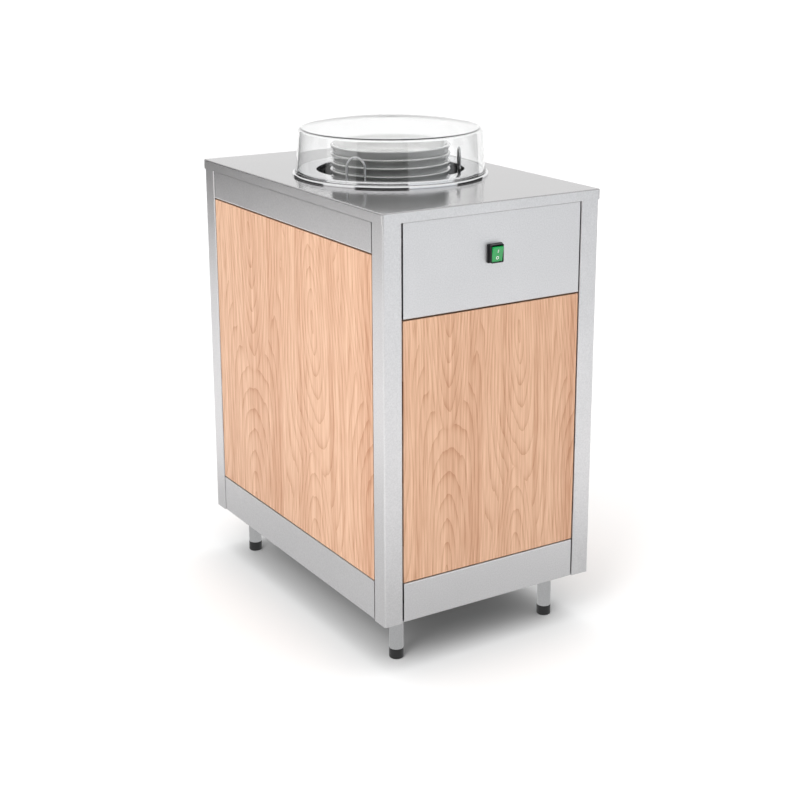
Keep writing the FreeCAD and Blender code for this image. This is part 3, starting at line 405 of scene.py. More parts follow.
def wood_decor(name, across, draw):
    """Decor along Z. The figure is drawn across the axis named, narrower or wider by the draw."""
    material, tree, shader, place = start_material(name)
    axes = add_node(tree, "ShaderNodeSeparateXYZ")
    grain = place_group(tree, wood_group)
    grain.inputs["Seed"].default_value = WOOD_SEED
    join(tree, place, axes.inputs["Vector"])
    join(tree, calculate(tree, "MULTIPLY", axes.outputs[across], draw), grain.inputs["Across"])
    join(tree, axes.outputs["Z"], grain.inputs["Along"])
    figure = between(tree, grain.outputs["Shade"], WOOD_LIGHT, WOOD_DARK)
    cast = between(tree, grain.outputs["Tint"], WOOD_WARM, WHITE)
    join(tree, multiplied(tree, figure, cast), shader.inputs["Base Color"])
    join(tree, spread(tree, grain.outputs["Shade"], *WOOD_GLOSS), shader.inputs["Roughness"])
    add_relief(tree, shader, grain.outputs["Shade"], WOOD_BUMP, PORE_DEPTH)
    shader.inputs["Specular IOR Level"].default_value = WOOD_SPECULAR
    return material


finishes["front_wood"] = wood_decor("wood_decor_front", "X", 1.0)
finishes["side_wood"] = wood_decor("wood_decor_side", "Y", SIDE_DRAW)
print("wood decors: front and side")

# %% [markdown]
# The rest is glaze, plastics and raw board. Each is a shader with a little noise in its colour and
# gloss, because a moulded or fired surface is never one flat value. The glaze is painted greyer
# where a mark on the mesh says that its face looks down, as painted shade. The clear cover is
# refracting plastic with faint scuffs in its gloss. A see-through mix would be quicker to trace, but
# only bent light draws the dark lines at the cover's shoulder and foot.

# %% Glaze, plastics and board
UNDERSIDE_SHADE_MARK = "painted_underside_shade"
UNDERSIDE_SHADE_TONE = (0.52, 0.53, 0.53)
GRAIN_DARK = 0.93
GRAIN_LIGHT = 1.05
GRAIN_DEPTH = 0.0003
SCUFF_SCALE = 14.0
SCUFF_GLOSS = (0.0, 0.02)
CLEAR_TINT = (0.985, 0.99, 0.99)
CLEAR_IOR = 1.49


def moulded(name, colour, roughness, swing=0.05, scale=900.0, bump=0.02, coat=0.0, specular=0.5,
            underside_tone=None):
    """Moulded or fired surface. Where an underside tone is given, it tints the marked parts of the mesh as painted
    shade.
    """
    material, tree, shader, place = start_material(name)
    noise = add_noise(tree, place, scale).outputs["Fac"]
    face = between(tree, noise, shaded(colour, GRAIN_DARK), shaded(colour, GRAIN_LIGHT))
    # Painted shade: where the mesh is marked, the face colour is greyed by the underside tone.
    if underside_tone:
        mark = add_node(tree, "ShaderNodeAttribute", attribute_name=UNDERSIDE_SHADE_MARK)
        face = multiplied(tree, face, between(tree, mark.outputs["Fac"], WHITE, underside_tone))
    join(tree, face, shader.inputs["Base Color"])
    join(tree, spread(tree, noise, roughness - swing, roughness + swing), shader.inputs["Roughness"])
    add_relief(tree, shader, noise, bump, GRAIN_DEPTH)
    shader.inputs["Coat Weight"].default_value = coat
    shader.inputs["Specular IOR Level"].default_value = specular
    return material


def clear_plastic(name):
    material, tree, shader, place = start_material(name)
    scuffs = add_noise(tree, place, SCUFF_SCALE).outputs["Fac"]
    join(tree, spread(tree, scuffs, *SCUFF_GLOSS), shader.inputs["Roughness"])
    join(tree, between(tree, scuffs, CLEAR_TINT, WHITE), shader.inputs["Base Color"])
    shader.inputs["Transmission Weight"].default_value = 1.0
    shader.inputs["IOR"].default_value = CLEAR_IOR
    return material


finishes["glaze"] = moulded("white_glaze", (0.92, 0.92, 0.91), 0.06, swing=0.02, scale=40.0, bump=0.01,
                            coat=1.0, specular=1.0, underside_tone=UNDERSIDE_SHADE_TONE)
finishes["clear"] = clear_plastic("clear_cover_plastic")
finishes["black"] = moulded("black_moulding", (0.012, 0.012, 0.013), 0.38)
finishes["grey"] = moulded("grey_moulding", (0.45, 0.46, 0.47), 0.50)
finishes["bush"] = moulded("white_bush_plastic", (0.80, 0.80, 0.78), 0.45)
finishes["green"] = moulded("green_lens", (0.006, 0.34, 0.075), 0.22, bump=0.0, coat=0.5)
finishes["mark"] = moulded("white_mark", (0.82, 0.84, 0.82), 0.40)
finishes["board"] = moulded("raw_board", (0.46, 0.33, 0.20), 0.80, scale=500.0, bump=0.08)
print("finishes in all:", len(finishes))

# %% [markdown]
# Each part of the frame now gets its finish. The record already says which material slot a node
# belongs to, so most are set by slot. Rails and panels also depend on which way they face, since
# their streaks and grain run along them.

# %% Dress the frame
slot_finish = {
    "satin_steel": "posts", "polished_steel": "wire", "plain_steel": "mill", "spring_steel": "spring",
    "heater_sheath": "sheath", "wood_decor": "front_wood", "board": "board", "clear_cover": "clear",
    "white_ceramic": "glaze", "black_plastic": "black", "grey_plastic": "grey", "white_plastic": "bush",
    "green_plastic": "green",
}


def finish_of(node, slot):
    sideways = node.startswith(("left_", "right_"))
    if node.endswith("_panel"):
        return "side_wood" if sideways else "front_wood"
    if node.endswith(("_rail", "_fascia")):
        return "rails_y" if sideways else "rails_x"
    if node == "countertop":
        return "counter"
    if node.startswith("leg_") and slot == "satin_steel":
        return "legs"
    return slot_finish[slot]


for part in frame["record"]["subparts"]:
    dressed = nodes[part["node"]]
    dressed.data.materials.clear()
    dressed.data.materials.append(finishes[finish_of(part["node"], part["material_slot"])])

# %% [markdown]
# Ring, cover and plates are turned pieces: the real ones are spun, blown or thrown about one axis.
# The same is done here. A section is drawn by extruding one vertex from corner to corner, its
# corners are rounded with a vertex bevel, and the section is spun about the axis.

# %% Drawing helpers
SAME_PLACE = 1e-6
NEAR_PLACE = 10 * SAME_PLACE
START_SIZE = 0.01


def clear_selection():
    bpy.ops.object.select_all(action="DESELECT")


def start_edit(kind):
    """Enters edit mode with all selected, by VERT, EDGE or FACE."""
    bpy.ops.object.mode_set(mode="EDIT")
    bpy.ops.mesh.select_mode(type=kind)
    bpy.ops.mesh.select_all(action="SELECT")


def extrude_by(step):
    bpy.ops.mesh.extrude_region_move(TRANSFORM_OT_translate={"value": step})


def select_vertices(piece, *places):
    mesh = bmesh.from_edit_mesh(piece.data)
    for vertex in mesh.verts:
        vertex.select = any((vertex.co - place).length < NEAR_PLACE for place in places)
    mesh.select_flush_mode()
    bmesh.update_edit_mesh(piece.data)


def start_vertex(name, place):
    """New mesh in edit mode, holding one selected vertex."""
    clear_selection()
    bpy.ops.mesh.primitive_plane_add(size=START_SIZE)
    piece = bpy.context.object
    piece.name = name
    start_edit("VERT")
    bpy.ops.mesh.merge(type="CENTER")
    bpy.ops.transform.translate(value=place)
    return piece


def draw_line(name, places):
    """New mesh in edit mode, holding a line from place to place."""
    piece = start_vertex(name, places[0])
    for here, there in zip(places, places[1:]):
        extrude_by(there - here)
    return piece


# %% Turning helpers
SMOOTH_ANGLE = math.radians(35)
ROUND_STEPS = 160
CORNER_STEPS = 6


def draw_section(name, corners, closed):
    """Section of (radius, height, rounding) corners, drawn in the XZ plane."""
    places = [Vector((radius, 0, height)) for radius, height, rounding in corners]
    piece = draw_line(name, places)
    if closed:
        select_vertices(piece, places[0], places[-1])
        bpy.ops.mesh.edge_face_add()
    for index, (radius, height, rounding) in enumerate(corners):
        if rounding:
            here = places[index]
            back = (places[index - 1] - here).normalized()
            ahead = (places[(index + 1) % len(places)] - here).normalized()
            reach = rounding / math.tan(back.angle(ahead) / 2)
            select_vertices(piece, here)
            bpy.ops.mesh.bevel(affect="VERTICES", offset=reach, segments=CORNER_STEPS)
    return piece


def finish_edit(angle=SMOOTH_ANGLE):
    bpy.ops.mesh.select_all(action="SELECT")
    bpy.ops.mesh.remove_doubles(threshold=SAME_PLACE)
    bpy.ops.mesh.normals_make_consistent(inside=False)
    bpy.ops.object.mode_set(mode="OBJECT")
    bpy.ops.object.shade_smooth_by_angle(angle=angle)


def turn_section(name, corners, closed=True):
    piece = draw_section(name, corners, closed)
    bpy.ops.mesh.select_all(action="SELECT")
    bpy.ops.mesh.spin(steps=ROUND_STEPS, angle=2 * math.pi, center=(0, 0, 0), axis=(0, 0, 1))
    finish_edit()
    return piece


def settle(piece, finish, body, slot, *replaced):
    """Gives a finished piece its material and its body, and hides the nodes it stands for."""
    piece.data.materials.clear()
    piece.data.materials.append(finishes[finish])
    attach(piece, body)
    if replaced:
        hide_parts(*replaced)
    sizes = [round(size, 4) for size in piece.dimensions]
    print(piece.name, "vertices", len(piece.data.vertices), "size", sizes)


# %% [markdown]
# The rim ring covers the raw edge of the cut-out and carries the cover. It is one spun sheet: a
# rolled outer edge on the counter, a flat seat, a raised collar that centres the cover, and a lip
# that turns down into the well. A Solidify modifier could give the sheet its thickness, but drawing
# both of its faces lets each corner have a rounding of its own.

# %% Rim ring
ring_low, ring_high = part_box("rim_ring")
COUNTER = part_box("countertop")[1].z
RING_SHEET = 0.002
RING_EDGE = 0.006
RING_OUTER = ring_high.x
RING_COLLAR = 0.1885
RING_ROLL = 0.0035
RING_HEEL = 0.0030
RING_BEND = 0.0015
RING_CUT = 0.0003
WELL = 0.150
ring_top = ring_high.z
seat = COUNTER + RING_EDGE
rim_ring = turn_section("rim_ring_spun", [
    (RING_OUTER - RING_SHEET, COUNTER, 0),
    (RING_OUTER, COUNTER, RING_CUT),
    (RING_OUTER, seat, RING_ROLL),
    (RING_COLLAR, seat, RING_BEND),
    (RING_COLLAR, ring_top, RING_ROLL),
    (WELL, ring_top, RING_ROLL),
    (WELL, ring_low.z, RING_CUT),
    (WELL + RING_SHEET, ring_low.z, RING_CUT),
    (WELL + RING_SHEET, ring_top - RING_SHEET, RING_BEND),
    (RING_COLLAR - RING_SHEET, ring_top - RING_SHEET, RING_BEND),
    (RING_COLLAR - RING_SHEET, seat - RING_SHEET, RING_HEEL),
    (RING_OUTER - RING_SHEET, seat - RING_SHEET, RING_BEND),
])
settle(rim_ring, "polished", "cabinet", "polished_steel", "rim_ring")

# %% [markdown]
# The cover is a clear moulding with a small bead round its foot, a rounded shoulder and a crowned
# top. Its wall is drawn with both faces, because clear plastic bends light at each of them, and that
# is what makes the dark lines at the shoulder and the foot.

# %% Dome cover
dome_low, dome_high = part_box("dome_cover")
DOME_WALL = 0.003
DOME_FOOT = 0.193
DOME_TOP = 0.1865
DOME_EDGE = 0.0935
DOME_SHOULDER = 0.007
DOME_CROWN = 0.820
DOME_BEAD_HEIGHT = 0.0032
BEAD_ROUND = 0.001
dome_bead = dome_high.x
bead_top = dome_low.z + DOME_BEAD_HEIGHT
dome_edge = COUNTER + DOME_EDGE
inside_top = dome_high.z - DOME_WALL
dome_cover = turn_section("dome_cover_moulded", [
    (0, dome_high.z, 0),
    (DOME_TOP / 2, dome_high.z, DOME_CROWN),
    (DOME_TOP, dome_edge, DOME_SHOULDER),
    (DOME_FOOT, bead_top, BEAD_ROUND / 2),
    (dome_bead, bead_top, BEAD_ROUND),
    (dome_bead, dome_low.z, BEAD_ROUND),
    (DOME_FOOT - DOME_WALL, dome_low.z, BEAD_ROUND / 2),
    (DOME_TOP - DOME_WALL, dome_edge - DOME_WALL, DOME_SHOULDER - DOME_WALL),
    (DOME_TOP / 2, inside_top, DOME_CROWN - DOME_WALL),
    (0, inside_top, 0),
], closed=False)
settle(dome_cover, "clear", "cover", "clear_cover", "dome_cover")

# %% [markdown]
# The plates are deep and steep-walled, so that they nest with only their rims and a band of wall in
# view. One plate is turned, and the others are copies of it, one pitch apart, each with a mesh of
# its own. Faces that look down are marked on the mesh from its normals, and the glaze is greyed
# there as painted shade.

# %% Top plate
plate_low, plate_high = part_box("top_plate")
PLATE_RADIUS = plate_high.x
PLATE_WALL = 0.0068
PLATE_SLOPE = 2.4
PLATE_BASE = 0.003
PLATE_FLOOR = 0.008
PLATE_FOOT = 0.086
FOOT_WIDTH = 0.008
FLOOR_CURVE = 0.016
RIM_ROUND = 0.0025
KNEE_ROUND = 0.008
HEEL_ROUND = 0.002
FOOT_ROUND = 0.001
UNDERSIDE_SHADE_GAIN = 3
rim_level = plate_high.z
foot_level = plate_low.z
base_level = foot_level + PLATE_BASE
floor_level = foot_level + PLATE_FLOOR
rim_inner = PLATE_RADIUS - PLATE_WALL
foot_inner = PLATE_FOOT - FOOT_WIDTH
outer_corner = PLATE_RADIUS - (rim_level - base_level) / PLATE_SLOPE
inner_corner = rim_inner - (rim_level - floor_level) / PLATE_SLOPE
top_plate = turn_section("top_plate_glazed", [
    (0, floor_level, 0),
    (inner_corner, floor_level, FLOOR_CURVE),
    (rim_inner, rim_level, RIM_ROUND),
    (PLATE_RADIUS, rim_level, RIM_ROUND),
    (outer_corner, base_level, KNEE_ROUND),
    (PLATE_FOOT + PLATE_BASE, base_level, HEEL_ROUND),
    (PLATE_FOOT, foot_level, FOOT_ROUND),
    (foot_inner, foot_level, FOOT_ROUND),
    (foot_inner, base_level, FOOT_ROUND),
    (0, base_level, 0),
], closed=False)
# Painted shade: each vertex is marked from its normal, up to 1 where its face looks down.
bpy.ops.geometry.attribute_add(name=UNDERSIDE_SHADE_MARK, domain="POINT", data_type="FLOAT")
underside_shade_values = top_plate.data.attributes[UNDERSIDE_SHADE_MARK].data
for vertex in top_plate.data.vertices:
    underside_shade_values[vertex.index].value = min(max(-vertex.normal.z * UNDERSIDE_SHADE_GAIN, 0), 1)
print("plate corners", round(inner_corner, 4), "inside", round(outer_corner, 4), "outside")

# %% Stack of plates
stack_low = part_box("plate_stack")[0]
STACKED = 5
plate_pitch = (plate_low.z - stack_low.z) / STACKED


def copy_piece(piece, name):
    """Copy of a piece, with a mesh of its own."""
    clear_selection()
    piece.select_set(True)
    bpy.context.view_layer.objects.active = piece
    bpy.ops.object.duplicate()
    twin = bpy.context.object
    twin.name = name
    return twin


def apply_place():
    """Moves the selected object's place, turn and size into its mesh."""
    bpy.ops.object.transform_apply(location=True, rotation=True, scale=True)


def stand_at(piece, place, turn=0):
    """Turns a piece about the Z axis and moves it."""
    clear_selection()
    piece.select_set(True)
    piece.rotation_euler.z = turn
    piece.location = place
    apply_place()


stacked_plates = [copy_piece(top_plate, f"stacked_plate_{number + 1}") for number in range(STACKED)]
settle(top_plate, "glaze", "carrier", "white_ceramic", "top_plate")
for number, plate in enumerate(stacked_plates):
    stand_at(plate, (0, 0, (number - STACKED) * plate_pitch))
    settle(plate, "glaze", "carrier", "white_ceramic", "plate_stack")

# %% [markdown]
# The guides are hoops of bent wire. A disc the size of the wire is extruded up for the first leg,
# spun through half a turn for the arch, and extruded down again for the second leg. A curve with a
# round bevel could make them too, but this gives a plain mesh at once. One hoop is bent, and the
# other two are copies, turned about the well's axis.

# %% Plate guides
guide_low, guide_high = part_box("plate_guide_1")
GUIDES = 3
WIRE_RADIUS = (guide_high.y - guide_low.y) / 2
WIRE_SIDES = 16
ARCH_STEPS = 24
guide_distance = (guide_high.y + guide_low.y) / 2
guide_half = (guide_high.x - guide_low.x) / 2 - WIRE_RADIUS
guide_shoulder = guide_high.z - WIRE_RADIUS - guide_half
guide_leg = guide_shoulder - guide_low.z

clear_selection()
bpy.ops.mesh.primitive_circle_add(vertices=WIRE_SIDES, radius=WIRE_RADIUS, fill_type="NGON",
                                  location=(-guide_half, guide_distance, guide_low.z))
first_guide = bpy.context.object
first_guide.name = "plate_guide_wire_1"
apply_place()
start_edit("FACE")
extrude_by((0, 0, guide_leg))
bpy.ops.mesh.spin(steps=ARCH_STEPS, angle=math.pi, center=(0, guide_distance, guide_shoulder),
                  axis=(0, -1, 0))
extrude_by((0, 0, -guide_leg))
finish_edit()
guides = [first_guide]
guides += [copy_piece(first_guide, f"plate_guide_wire_{number}") for number in range(2, GUIDES + 1)]
for number, guide in enumerate(guides):
    stand_at(guide, (0, 0, 0), number * 2 * math.pi / GUIDES)
    settle(guide, "wire", "cabinet", "polished_steel", f"plate_guide_{number + 1}")

# %% [markdown]
# The rocker is a green lens with a dished face, pressed in at its lower half. It could be cut from a
# block, but drawing its side outline about the pivot and pushing that across the width keeps the
# dish exact. The corners are rounded first and the rim of the face after them, because a bevel in
# that order runs cleanly round the corners.

# %% Rocker outline
tilt_joint = next(joint for joint in frame["joints"] if joint["name"] == "rocker_tilt")
PIVOT = Vector(tilt_joint["pos_m"])
ROCKER_TILT = math.radians(tilt_joint["range_deg"][1] / 2)
ROCKER_WIDTH = 0.0243
ROCKER_HALF = 0.0146
ROCKER_OUT = 0.008
ROCKER_DIP = 0.0014
ROCKER_RIM = -0.003
ROCKER_KEEL = 0.003
ROCKER_WAIST = 0.006

rocker = draw_line("switch_rocker_lens", [Vector((-ROCKER_WIDTH / 2, y, z)) for y, z in (
    (-ROCKER_OUT, ROCKER_HALF), (-ROCKER_OUT + ROCKER_DIP, 0), (-ROCKER_OUT, -ROCKER_HALF),
    (ROCKER_RIM, -ROCKER_HALF), (ROCKER_KEEL, -ROCKER_WAIST), (ROCKER_KEEL, ROCKER_WAIST),
    (ROCKER_RIM, ROCKER_HALF))])
bpy.ops.mesh.select_all(action="SELECT")
bpy.ops.mesh.edge_face_add()
bpy.ops.mesh.select_all(action="SELECT")
extrude_by((ROCKER_WIDTH, 0, 0))
bpy.ops.mesh.select_all(action="SELECT")
bpy.ops.mesh.normals_make_consistent(inside=False)
print("rocker tilt", round(math.degrees(ROCKER_TILT), 1), "pivot", PIVOT[:])

# %% Rocker rounding
ROCKER_CORNER = 0.0022
ROCKER_CORNER_STEPS = 5
ROCKER_EDGE = 0.0010
ROCKER_EDGE_STEPS = 3
LENS_ANGLE = math.radians(25)


def select_edges(piece, wanted):
    """Selects the edges whose two end places pass the test."""
    bpy.ops.mesh.select_mode(type="EDGE")
    bpy.ops.mesh.select_all(action="DESELECT")
    mesh = bmesh.from_edit_mesh(piece.data)
    for edge in mesh.edges:
        edge.select_set(wanted(edge.verts[0].co, edge.verts[1].co))
    bmesh.update_edit_mesh(piece.data)


def runs_out_at_end(one, other):
    same_side = abs(one.x - other.x) < SAME_PLACE
    at_end = all(abs(abs(place.z) - ROCKER_HALF) < SAME_PLACE for place in (one, other))
    return same_side and at_end and one.z * other.z > 0


def rims_face(one, other):
    on_face = all(place.y < -ROCKER_OUT + ROCKER_DIP + SAME_PLACE for place in (one, other))
    across_middle = all(abs(place.z) < SAME_PLACE for place in (one, other))
    return on_face and not across_middle


def tilt_about_pivot(piece):
    piece.rotation_euler.x = ROCKER_TILT
    piece.location = PIVOT
    apply_place()


select_edges(rocker, runs_out_at_end)
bpy.ops.mesh.bevel(affect="EDGES", offset=ROCKER_CORNER, segments=ROCKER_CORNER_STEPS)
select_edges(rocker, rims_face)
bpy.ops.mesh.bevel(affect="EDGES", offset=ROCKER_EDGE, segments=ROCKER_EDGE_STEPS)
finish_edit(LENS_ANGLE)
tilt_about_pivot(rocker)
settle(rocker, "green", "rocker", "green_plastic", "switch_rocker")

# %% [markdown]
# The two signs on the rocker are the usual bar and ring, moulded slightly proud in white. Each lies
# on its own half of the dished face, so it is first sloped like that half and then tilted with it.

# %% Rocker bar
MARK_HEIGHT = 0.0003
MARK_LEVEL = 0.0066
BAR_WIDTH = 0.0016
BAR_HEIGHT = 0.0060
BAR_STEPS = 2
DISH_ANGLE = math.atan2(ROCKER_DIP, ROCKER_HALF)
face_at_mark = -ROCKER_OUT + ROCKER_DIP * (1 - MARK_LEVEL / ROCKER_HALF)


def lay_on_face(piece, level, slope):
    piece.rotation_euler.x = slope
    piece.location = (0, face_at_mark, level)
    apply_place()
    tilt_about_pivot(piece)


clear_selection()
bpy.ops.mesh.primitive_cube_add(size=1, scale=(BAR_WIDTH, 2 * MARK_HEIGHT, BAR_HEIGHT))
bar_mark = bpy.context.object
bar_mark.name = "rocker_mark_bar"
apply_place()
start_edit("EDGE")
bpy.ops.mesh.bevel(affect="EDGES", offset=MARK_HEIGHT / 2, segments=BAR_STEPS)
finish_edit()
lay_on_face(bar_mark, MARK_LEVEL, DISH_ANGLE)
settle(bar_mark, "mark", "rocker", "white_plastic")

# %% Rocker loop
LOOP_RADIUS = 0.0032
LOOP_LINE = 0.0013
LOOP_SIDES = 32

clear_selection()
bpy.ops.mesh.primitive_circle_add(vertices=LOOP_SIDES, radius=LOOP_RADIUS, fill_type="NGON",
                                  rotation=(math.pi / 2, 0, 0))
loop_mark = bpy.context.object
loop_mark.name = "rocker_mark_loop"
apply_place()
start_edit("FACE")
bpy.ops.mesh.inset(thickness=LOOP_LINE)
bpy.ops.mesh.delete(type="FACE")
bpy.ops.mesh.select_all(action="SELECT")
bpy.ops.transform.translate(value=(0, MARK_HEIGHT, 0))
extrude_by((0, -2 * MARK_HEIGHT, 0))
finish_edit()
lay_on_face(loop_mark, -MARK_LEVEL, -DISH_ANGLE)
settle(loop_mark, "mark", "rocker", "white_plastic")

# %% [markdown]
# The lift springs are wire, wound nearly close. A small circle stands beside the axis, and a Screw
# modifier winds it up. At each end the wire is spun out of the coil and round into a hook, as the last turn
# of a real spring is bent up, and the hook goes through its eye. One spring is wound on the axis and
# copied to the three places.

# %% Spring sizes
spring_low, spring_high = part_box("lift_spring_1")
SPRING_RADIUS = 0.009
SPRING_WIRE_RADIUS = 0.0010
SPRING_LEG = 0.006
HOOK_BEND = 0.002
PITCH_IN_WIRE_RADII = 2.4
coil_radius = SPRING_RADIUS - SPRING_WIRE_RADIUS
hook_radius = math.hypot(coil_radius, HOOK_BEND)
hook_lead = math.atan2(HOOK_BEND, coil_radius)
hook_reach = SPRING_WIRE_RADIUS + hook_radius + SPRING_LEG
coil_bottom = spring_low.z + hook_reach
coil_top = spring_high.z - hook_reach
coil_turns = round((coil_top - coil_bottom) / (PITCH_IN_WIRE_RADII * SPRING_WIRE_RADIUS))
print("coil from", round(coil_bottom, 4), "to", round(coil_top, 4), "turns", coil_turns)

# %% Spring hooks
SPRING_SIDES = 8
HOOK_TAIL = 0.004
HOOK_STEPS = 14
BEND_STEPS = 5


def draw_hook(piece, level, out):
    """Bends the wire's end at this level out of the coil and round into a hook; returns its bearing."""
    bpy.ops.mesh.select_mode(type="FACE")
    bpy.ops.mesh.select_all(action="DESELECT")
    mesh = bmesh.from_edit_mesh(piece.data)
    ends = [face for face in mesh.faces if len(face.verts) == SPRING_SIDES]
    end = min(ends, key=lambda face: abs(face.calc_center_median().z - level))
    end.select_set(True)
    start = end.calc_center_median()
    heading = end.normal.copy()
    bmesh.update_edit_mesh(piece.data)
    bpy.ops.mesh.spin(steps=BEND_STEPS, angle=math.pi / 2, center=start + out * HOOK_BEND,
                      axis=-heading.cross(out))
    extrude_by(out * (SPRING_LEG - HOOK_BEND))
    leg = start + heading * HOOK_BEND + out * SPRING_LEG
    across = Vector((leg.x, leg.y, 0)).normalized()
    bpy.ops.mesh.spin(steps=HOOK_STEPS, angle=math.pi, center=(0, 0, leg.z), axis=-across.cross(out))
    extrude_by(-out * HOOK_TAIL)
    return math.atan2(across.y, across.x)


# %% First spring
TURN_STEPS = 20
WIRE_ANGLE = math.radians(60)
UPWARDS = Vector((0, 0, 1))

clear_selection()
bpy.ops.mesh.primitive_circle_add(vertices=SPRING_SIDES, radius=SPRING_WIRE_RADIUS,
                                  rotation=(math.pi / 2, 0, 0), location=(coil_radius, 0, coil_bottom))
first_spring = bpy.context.object
first_spring.name = "lift_spring_coil_1"
apply_place()
winding = first_spring.modifiers.new("winding", "SCREW")
winding.angle = 2 * (math.pi - hook_lead / coil_turns)
winding.screw_offset = (coil_top - coil_bottom) / coil_turns
winding.iterations = coil_turns
winding.steps = TURN_STEPS
winding.render_steps = TURN_STEPS
bpy.ops.object.modifier_apply(modifier=winding.name)
start_edit("FACE")
bpy.ops.mesh.fill_holes(sides=SPRING_SIDES)
bpy.ops.mesh.normals_make_consistent(inside=False)
draw_hook(first_spring, coil_top, UPWARDS)
hook_bearing = draw_hook(first_spring, coil_bottom, -UPWARDS)
finish_edit(WIRE_ANGLE)
print("hook bearing", round(math.degrees(hook_bearing), 1), "degrees")

# %% Lift springs
SPRINGS = 3
springs = [first_spring]
springs += [copy_piece(first_spring, f"lift_spring_coil_{number}") for number in range(2, SPRINGS + 1)]
for number, spring in enumerate(springs, 1):
    low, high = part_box(f"lift_spring_{number}")
    middle = (low + high) / 2
    turn = math.atan2(middle.y, middle.x) + math.pi / 2 - hook_bearing
    stand_at(spring, (middle.x, middle.y, 0), turn)
    spring.data.materials.append(finishes["spring"])
    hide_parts(f"lift_spring_{number}")
    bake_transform(spring)
    print(spring.name, "turns", coil_turns, "size", [round(size, 4) for size in spring.dimensions])

# %% [markdown]
# White surroundings light the object, as in a studio with a pale sweep. The world is white to the
# camera, to mirrors and through clear plastic. To matt surfaces it gives more light from above than
# from the sides, as a studio ceiling does, so that rims are bright and the walls under them are not.
# Light that polished metal throws on matt surfaces is left out, because it would take far too long
# to trace. The floor is lit like the object and is lifted a little in the same views, so that it
# reads as white and still shows the shadow.

# %% World
WORLD_SIDES = 0.15
WORLD_ABOVE = 3.6
WORLD_FALLOFF = 4.0
ANY_BOUNCE = 0.5


def bounced(tree, rays, kind):
    """1 on rays that have met a surface of this kind before."""
    return calculate(tree, "GREATER_THAN", rays.outputs[f"{kind} Depth"], ANY_BOUNCE)


def view_mask(tree):
    """1 on rays that show a thing, straight, mirrored or through plastic, and 0 on rays that light one."""
    rays = add_node(tree, "ShaderNodeLightPath")
    mirrored = calculate(tree, "MAXIMUM", rays.outputs["Is Camera Ray"], rays.outputs["Is Glossy Ray"])
    shows = calculate(tree, "MAXIMUM", mirrored, rays.outputs["Is Transmission Ray"])
    from_matt = bounced(tree, rays, "Diffuse")
    return calculate(tree, "MULTIPLY", shows, calculate(tree, "SUBTRACT", 1.0, from_matt))


scene.cycles.caustics_reflective = False
world = bpy.data.worlds.new("studio")
scene.world = world
world.use_nodes = True
sky = world.node_tree
sky.nodes.clear()
sky_out = add_node(sky, "ShaderNodeOutputWorld")
sky_place = add_node(sky, "ShaderNodeTexCoord")
lit_by = add_node(sky, "ShaderNodeBackground")
shown = add_node(sky, "ShaderNodeBackground")
pick = add_node(sky, "ShaderNodeMixShader")
lit_by.inputs["Color"].default_value = (*WHITE, 1)
shown.inputs["Color"].default_value = (*WHITE, 1)
upwards = calculate(sky, "MAXIMUM", height_of(sky, sky_place.outputs["Generated"]), 0.0)
overhead = calculate(sky, "POWER", upwards, WORLD_FALLOFF)
join(sky, spread(sky, overhead, WORLD_SIDES, WORLD_ABOVE), lit_by.inputs["Strength"])
join(sky, view_mask(sky), pick.inputs["Fac"])
join(sky, lit_by.outputs["Background"], pick.inputs[1])
join(sky, shown.outputs["Background"], pick.inputs[2])
join(sky, pick.outputs["Shader"], sky_out.inputs["Surface"])
print("world from", WORLD_SIDES, "to", WORLD_ABOVE)

# %% Floor
FLOOR_SIZE = 120
FLOOR_TONE = 0.76
FLOOR_MOTTLE = 0.01
FLOOR_CLOUDS = 2.0
FLOOR_ROUGHNESS = 0.9
FLOOR_LIFT = 0.08

clear_selection()
bpy.ops.mesh.primitive_plane_add(size=FLOOR_SIZE)
floor = bpy.context.object
floor.name = "floor"
floor_material, floor_tree, floor_shader, floor_place = start_material("pale_floor")
floor_noise = add_noise(floor_tree, floor_place, FLOOR_CLOUDS).outputs["Fac"]
floor_dark = (FLOOR_TONE - FLOOR_MOTTLE,) * 3
floor_light = (FLOOR_TONE + FLOOR_MOTTLE,) * 3
floor_colour = between(floor_tree, floor_noise, floor_dark, floor_light)
join(floor_tree, floor_colour, floor_shader.inputs["Base Color"])
floor_shader.inputs["Roughness"].default_value = FLOOR_ROUGHNESS
floor_shader.inputs["Specular IOR Level"].default_value = 0.0
floor_shader.inputs["Emission Color"].default_value = (*WHITE, 1)
floor_glow = calculate(floor_tree, "MULTIPLY", view_mask(floor_tree), FLOOR_LIFT)
join(floor_tree, floor_glow, floor_shader.inputs["Emission Strength"])
floor.data.materials.append(floor_material)
print("floor tone", FLOOR_TONE, "lift", FLOOR_LIFT)

# %% [markdown]
# Polished pieces only show what stands round them. Photographers put up cards for that: dark ones to
# give the ring its bands, a bright one for the front, and a grey mat round the foot. The cards here
# are bent strips, and the mat is a disc, that only reflections see. They are clear to every other
# ray, so they cast no shadow and take no light away. The dark cards end low enough that the cover's
# crown stays clear when it is seen from the left.

# %% Card helpers
CARD_DISTANCE = 2.4
CARD_STEPS = 24


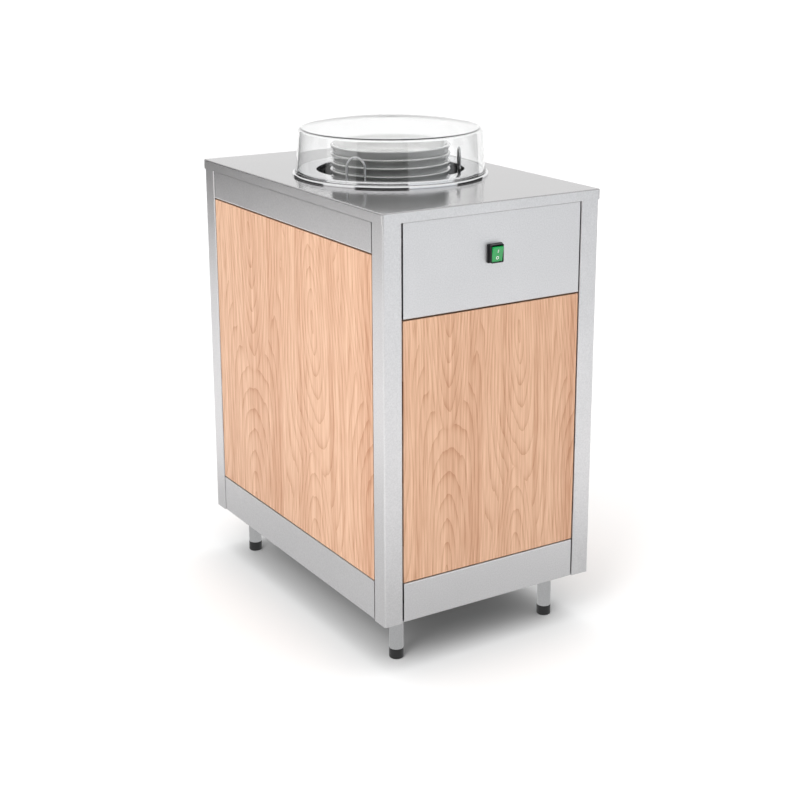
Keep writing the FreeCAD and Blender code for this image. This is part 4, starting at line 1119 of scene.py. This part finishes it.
def paint_card(piece, tone):
    """Gives a card one tone in reflections and makes it clear to all other rays."""
    material, tree, shader = start_material(piece.name + "_face")[:3]
    output = next(node for node in tree.nodes if node.type == "OUTPUT_MATERIAL")
    rays = add_node(tree, "ShaderNodeLightPath")
    clear = add_node(tree, "ShaderNodeBsdfTransparent")
    pick = add_node(tree, "ShaderNodeMixShader")
    shows = calculate(tree, "SUBTRACT", bounced(tree, rays, "Glossy"), bounced(tree, rays, "Diffuse"))
    join(tree, shows, pick.inputs["Fac"])
    join(tree, clear.outputs["BSDF"], pick.inputs[1])
    join(tree, shader.outputs["BSDF"], pick.inputs[2])
    join(tree, pick.outputs["Shader"], output.inputs["Surface"])
    shader.inputs["Base Color"].default_value = (0, 0, 0, 1)
    shader.inputs["Specular IOR Level"].default_value = 0.0
    shader.inputs["Emission Color"].default_value = (*tone, 1)
    shader.inputs["Emission Strength"].default_value = 1.0
    piece.data.materials.clear()
    piece.data.materials.append(material)
    piece.visible_camera = False
    piece.visible_diffuse = False
    piece.visible_shadow = False
    print(piece.name, "tone", tone[0])


def stand_card(name, bearings, heights, tone):
    """Bent card between two bearings, in degrees from the front towards the left, and two heights."""
    start, end = bearings
    bottom, top = heights
    first = math.radians(start)
    foot = Vector((-math.sin(first), -math.cos(first), 0)) * CARD_DISTANCE
    piece = start_vertex(name, foot + Vector((0, 0, bottom)))
    extrude_by((0, 0, top - bottom))
    bpy.ops.mesh.select_all(action="SELECT")
    bpy.ops.mesh.spin(steps=CARD_STEPS, angle=math.radians(end - start), center=(0, 0, 0), axis=(0, 0, 1))
    bpy.ops.object.mode_set(mode="OBJECT")
    paint_card(piece, tone)


# %% Cards
DARK_CARD = (0.03, 0.03, 0.03)
SOFT_CARD = (0.08, 0.08, 0.08)
BRIGHT_CARD = (0.95, 0.985, 1.01)
MAT_RADIUS = 0.95
MAT_SIDES = 48
MAT_LEVEL = 0.0005
MAT_TONE = (0.69, 0.695, 0.695)

stand_card("dark_card_front", bearings=(11, 71), heights=(0.45, 1.8), tone=DARK_CARD)
stand_card("dark_card_right", bearings=(-100, -49), heights=(0.45, 1.6), tone=DARK_CARD)
stand_card("bright_card_right", bearings=(-47, 9), heights=(0, 2.0), tone=BRIGHT_CARD)
stand_card("dark_card_left", bearings=(112, 180), heights=(0.4, 1.6), tone=SOFT_CARD)
clear_selection()
bpy.ops.mesh.primitive_circle_add(vertices=MAT_SIDES, radius=MAT_RADIUS, fill_type="NGON",
                                  location=(0, 0, MAT_LEVEL))
mat = bpy.context.object
mat.name = "grey_mat"
apply_place()
paint_card(mat, MAT_TONE)

# %% [markdown]
# One large soft box at the left makes the side panel a little brighter than the front. A large lamp
# keeps the shadows soft. Steel and plastic don't mirror it, because the cards already shape what
# they show.

# %% Lamp
KEY_PLACE = Vector((-3.0, -2.0, 2.6))
KEY_AIM = Vector((0, 0, 0.5))
KEY_WIDTH = 1.8
KEY_HEIGHT = 2.2
KEY_POWER = 79

key_lamp = bpy.data.lights.new("key_left", "AREA")
key_lamp.shape = "RECTANGLE"
key_lamp.size = KEY_WIDTH
key_lamp.size_y = KEY_HEIGHT
key_lamp.energy = KEY_POWER
key_holder = bpy.data.objects.new("key_left", key_lamp)
key_holder.location = KEY_PLACE
key_holder.rotation_euler = (KEY_AIM - KEY_PLACE).to_track_quat("-Z", "Y").to_euler()
key_holder.visible_glossy = False
key_holder.visible_transmission = False
scene.collection.objects.link(key_holder)
print("lamp:", key_holder.name, KEY_POWER, "W")
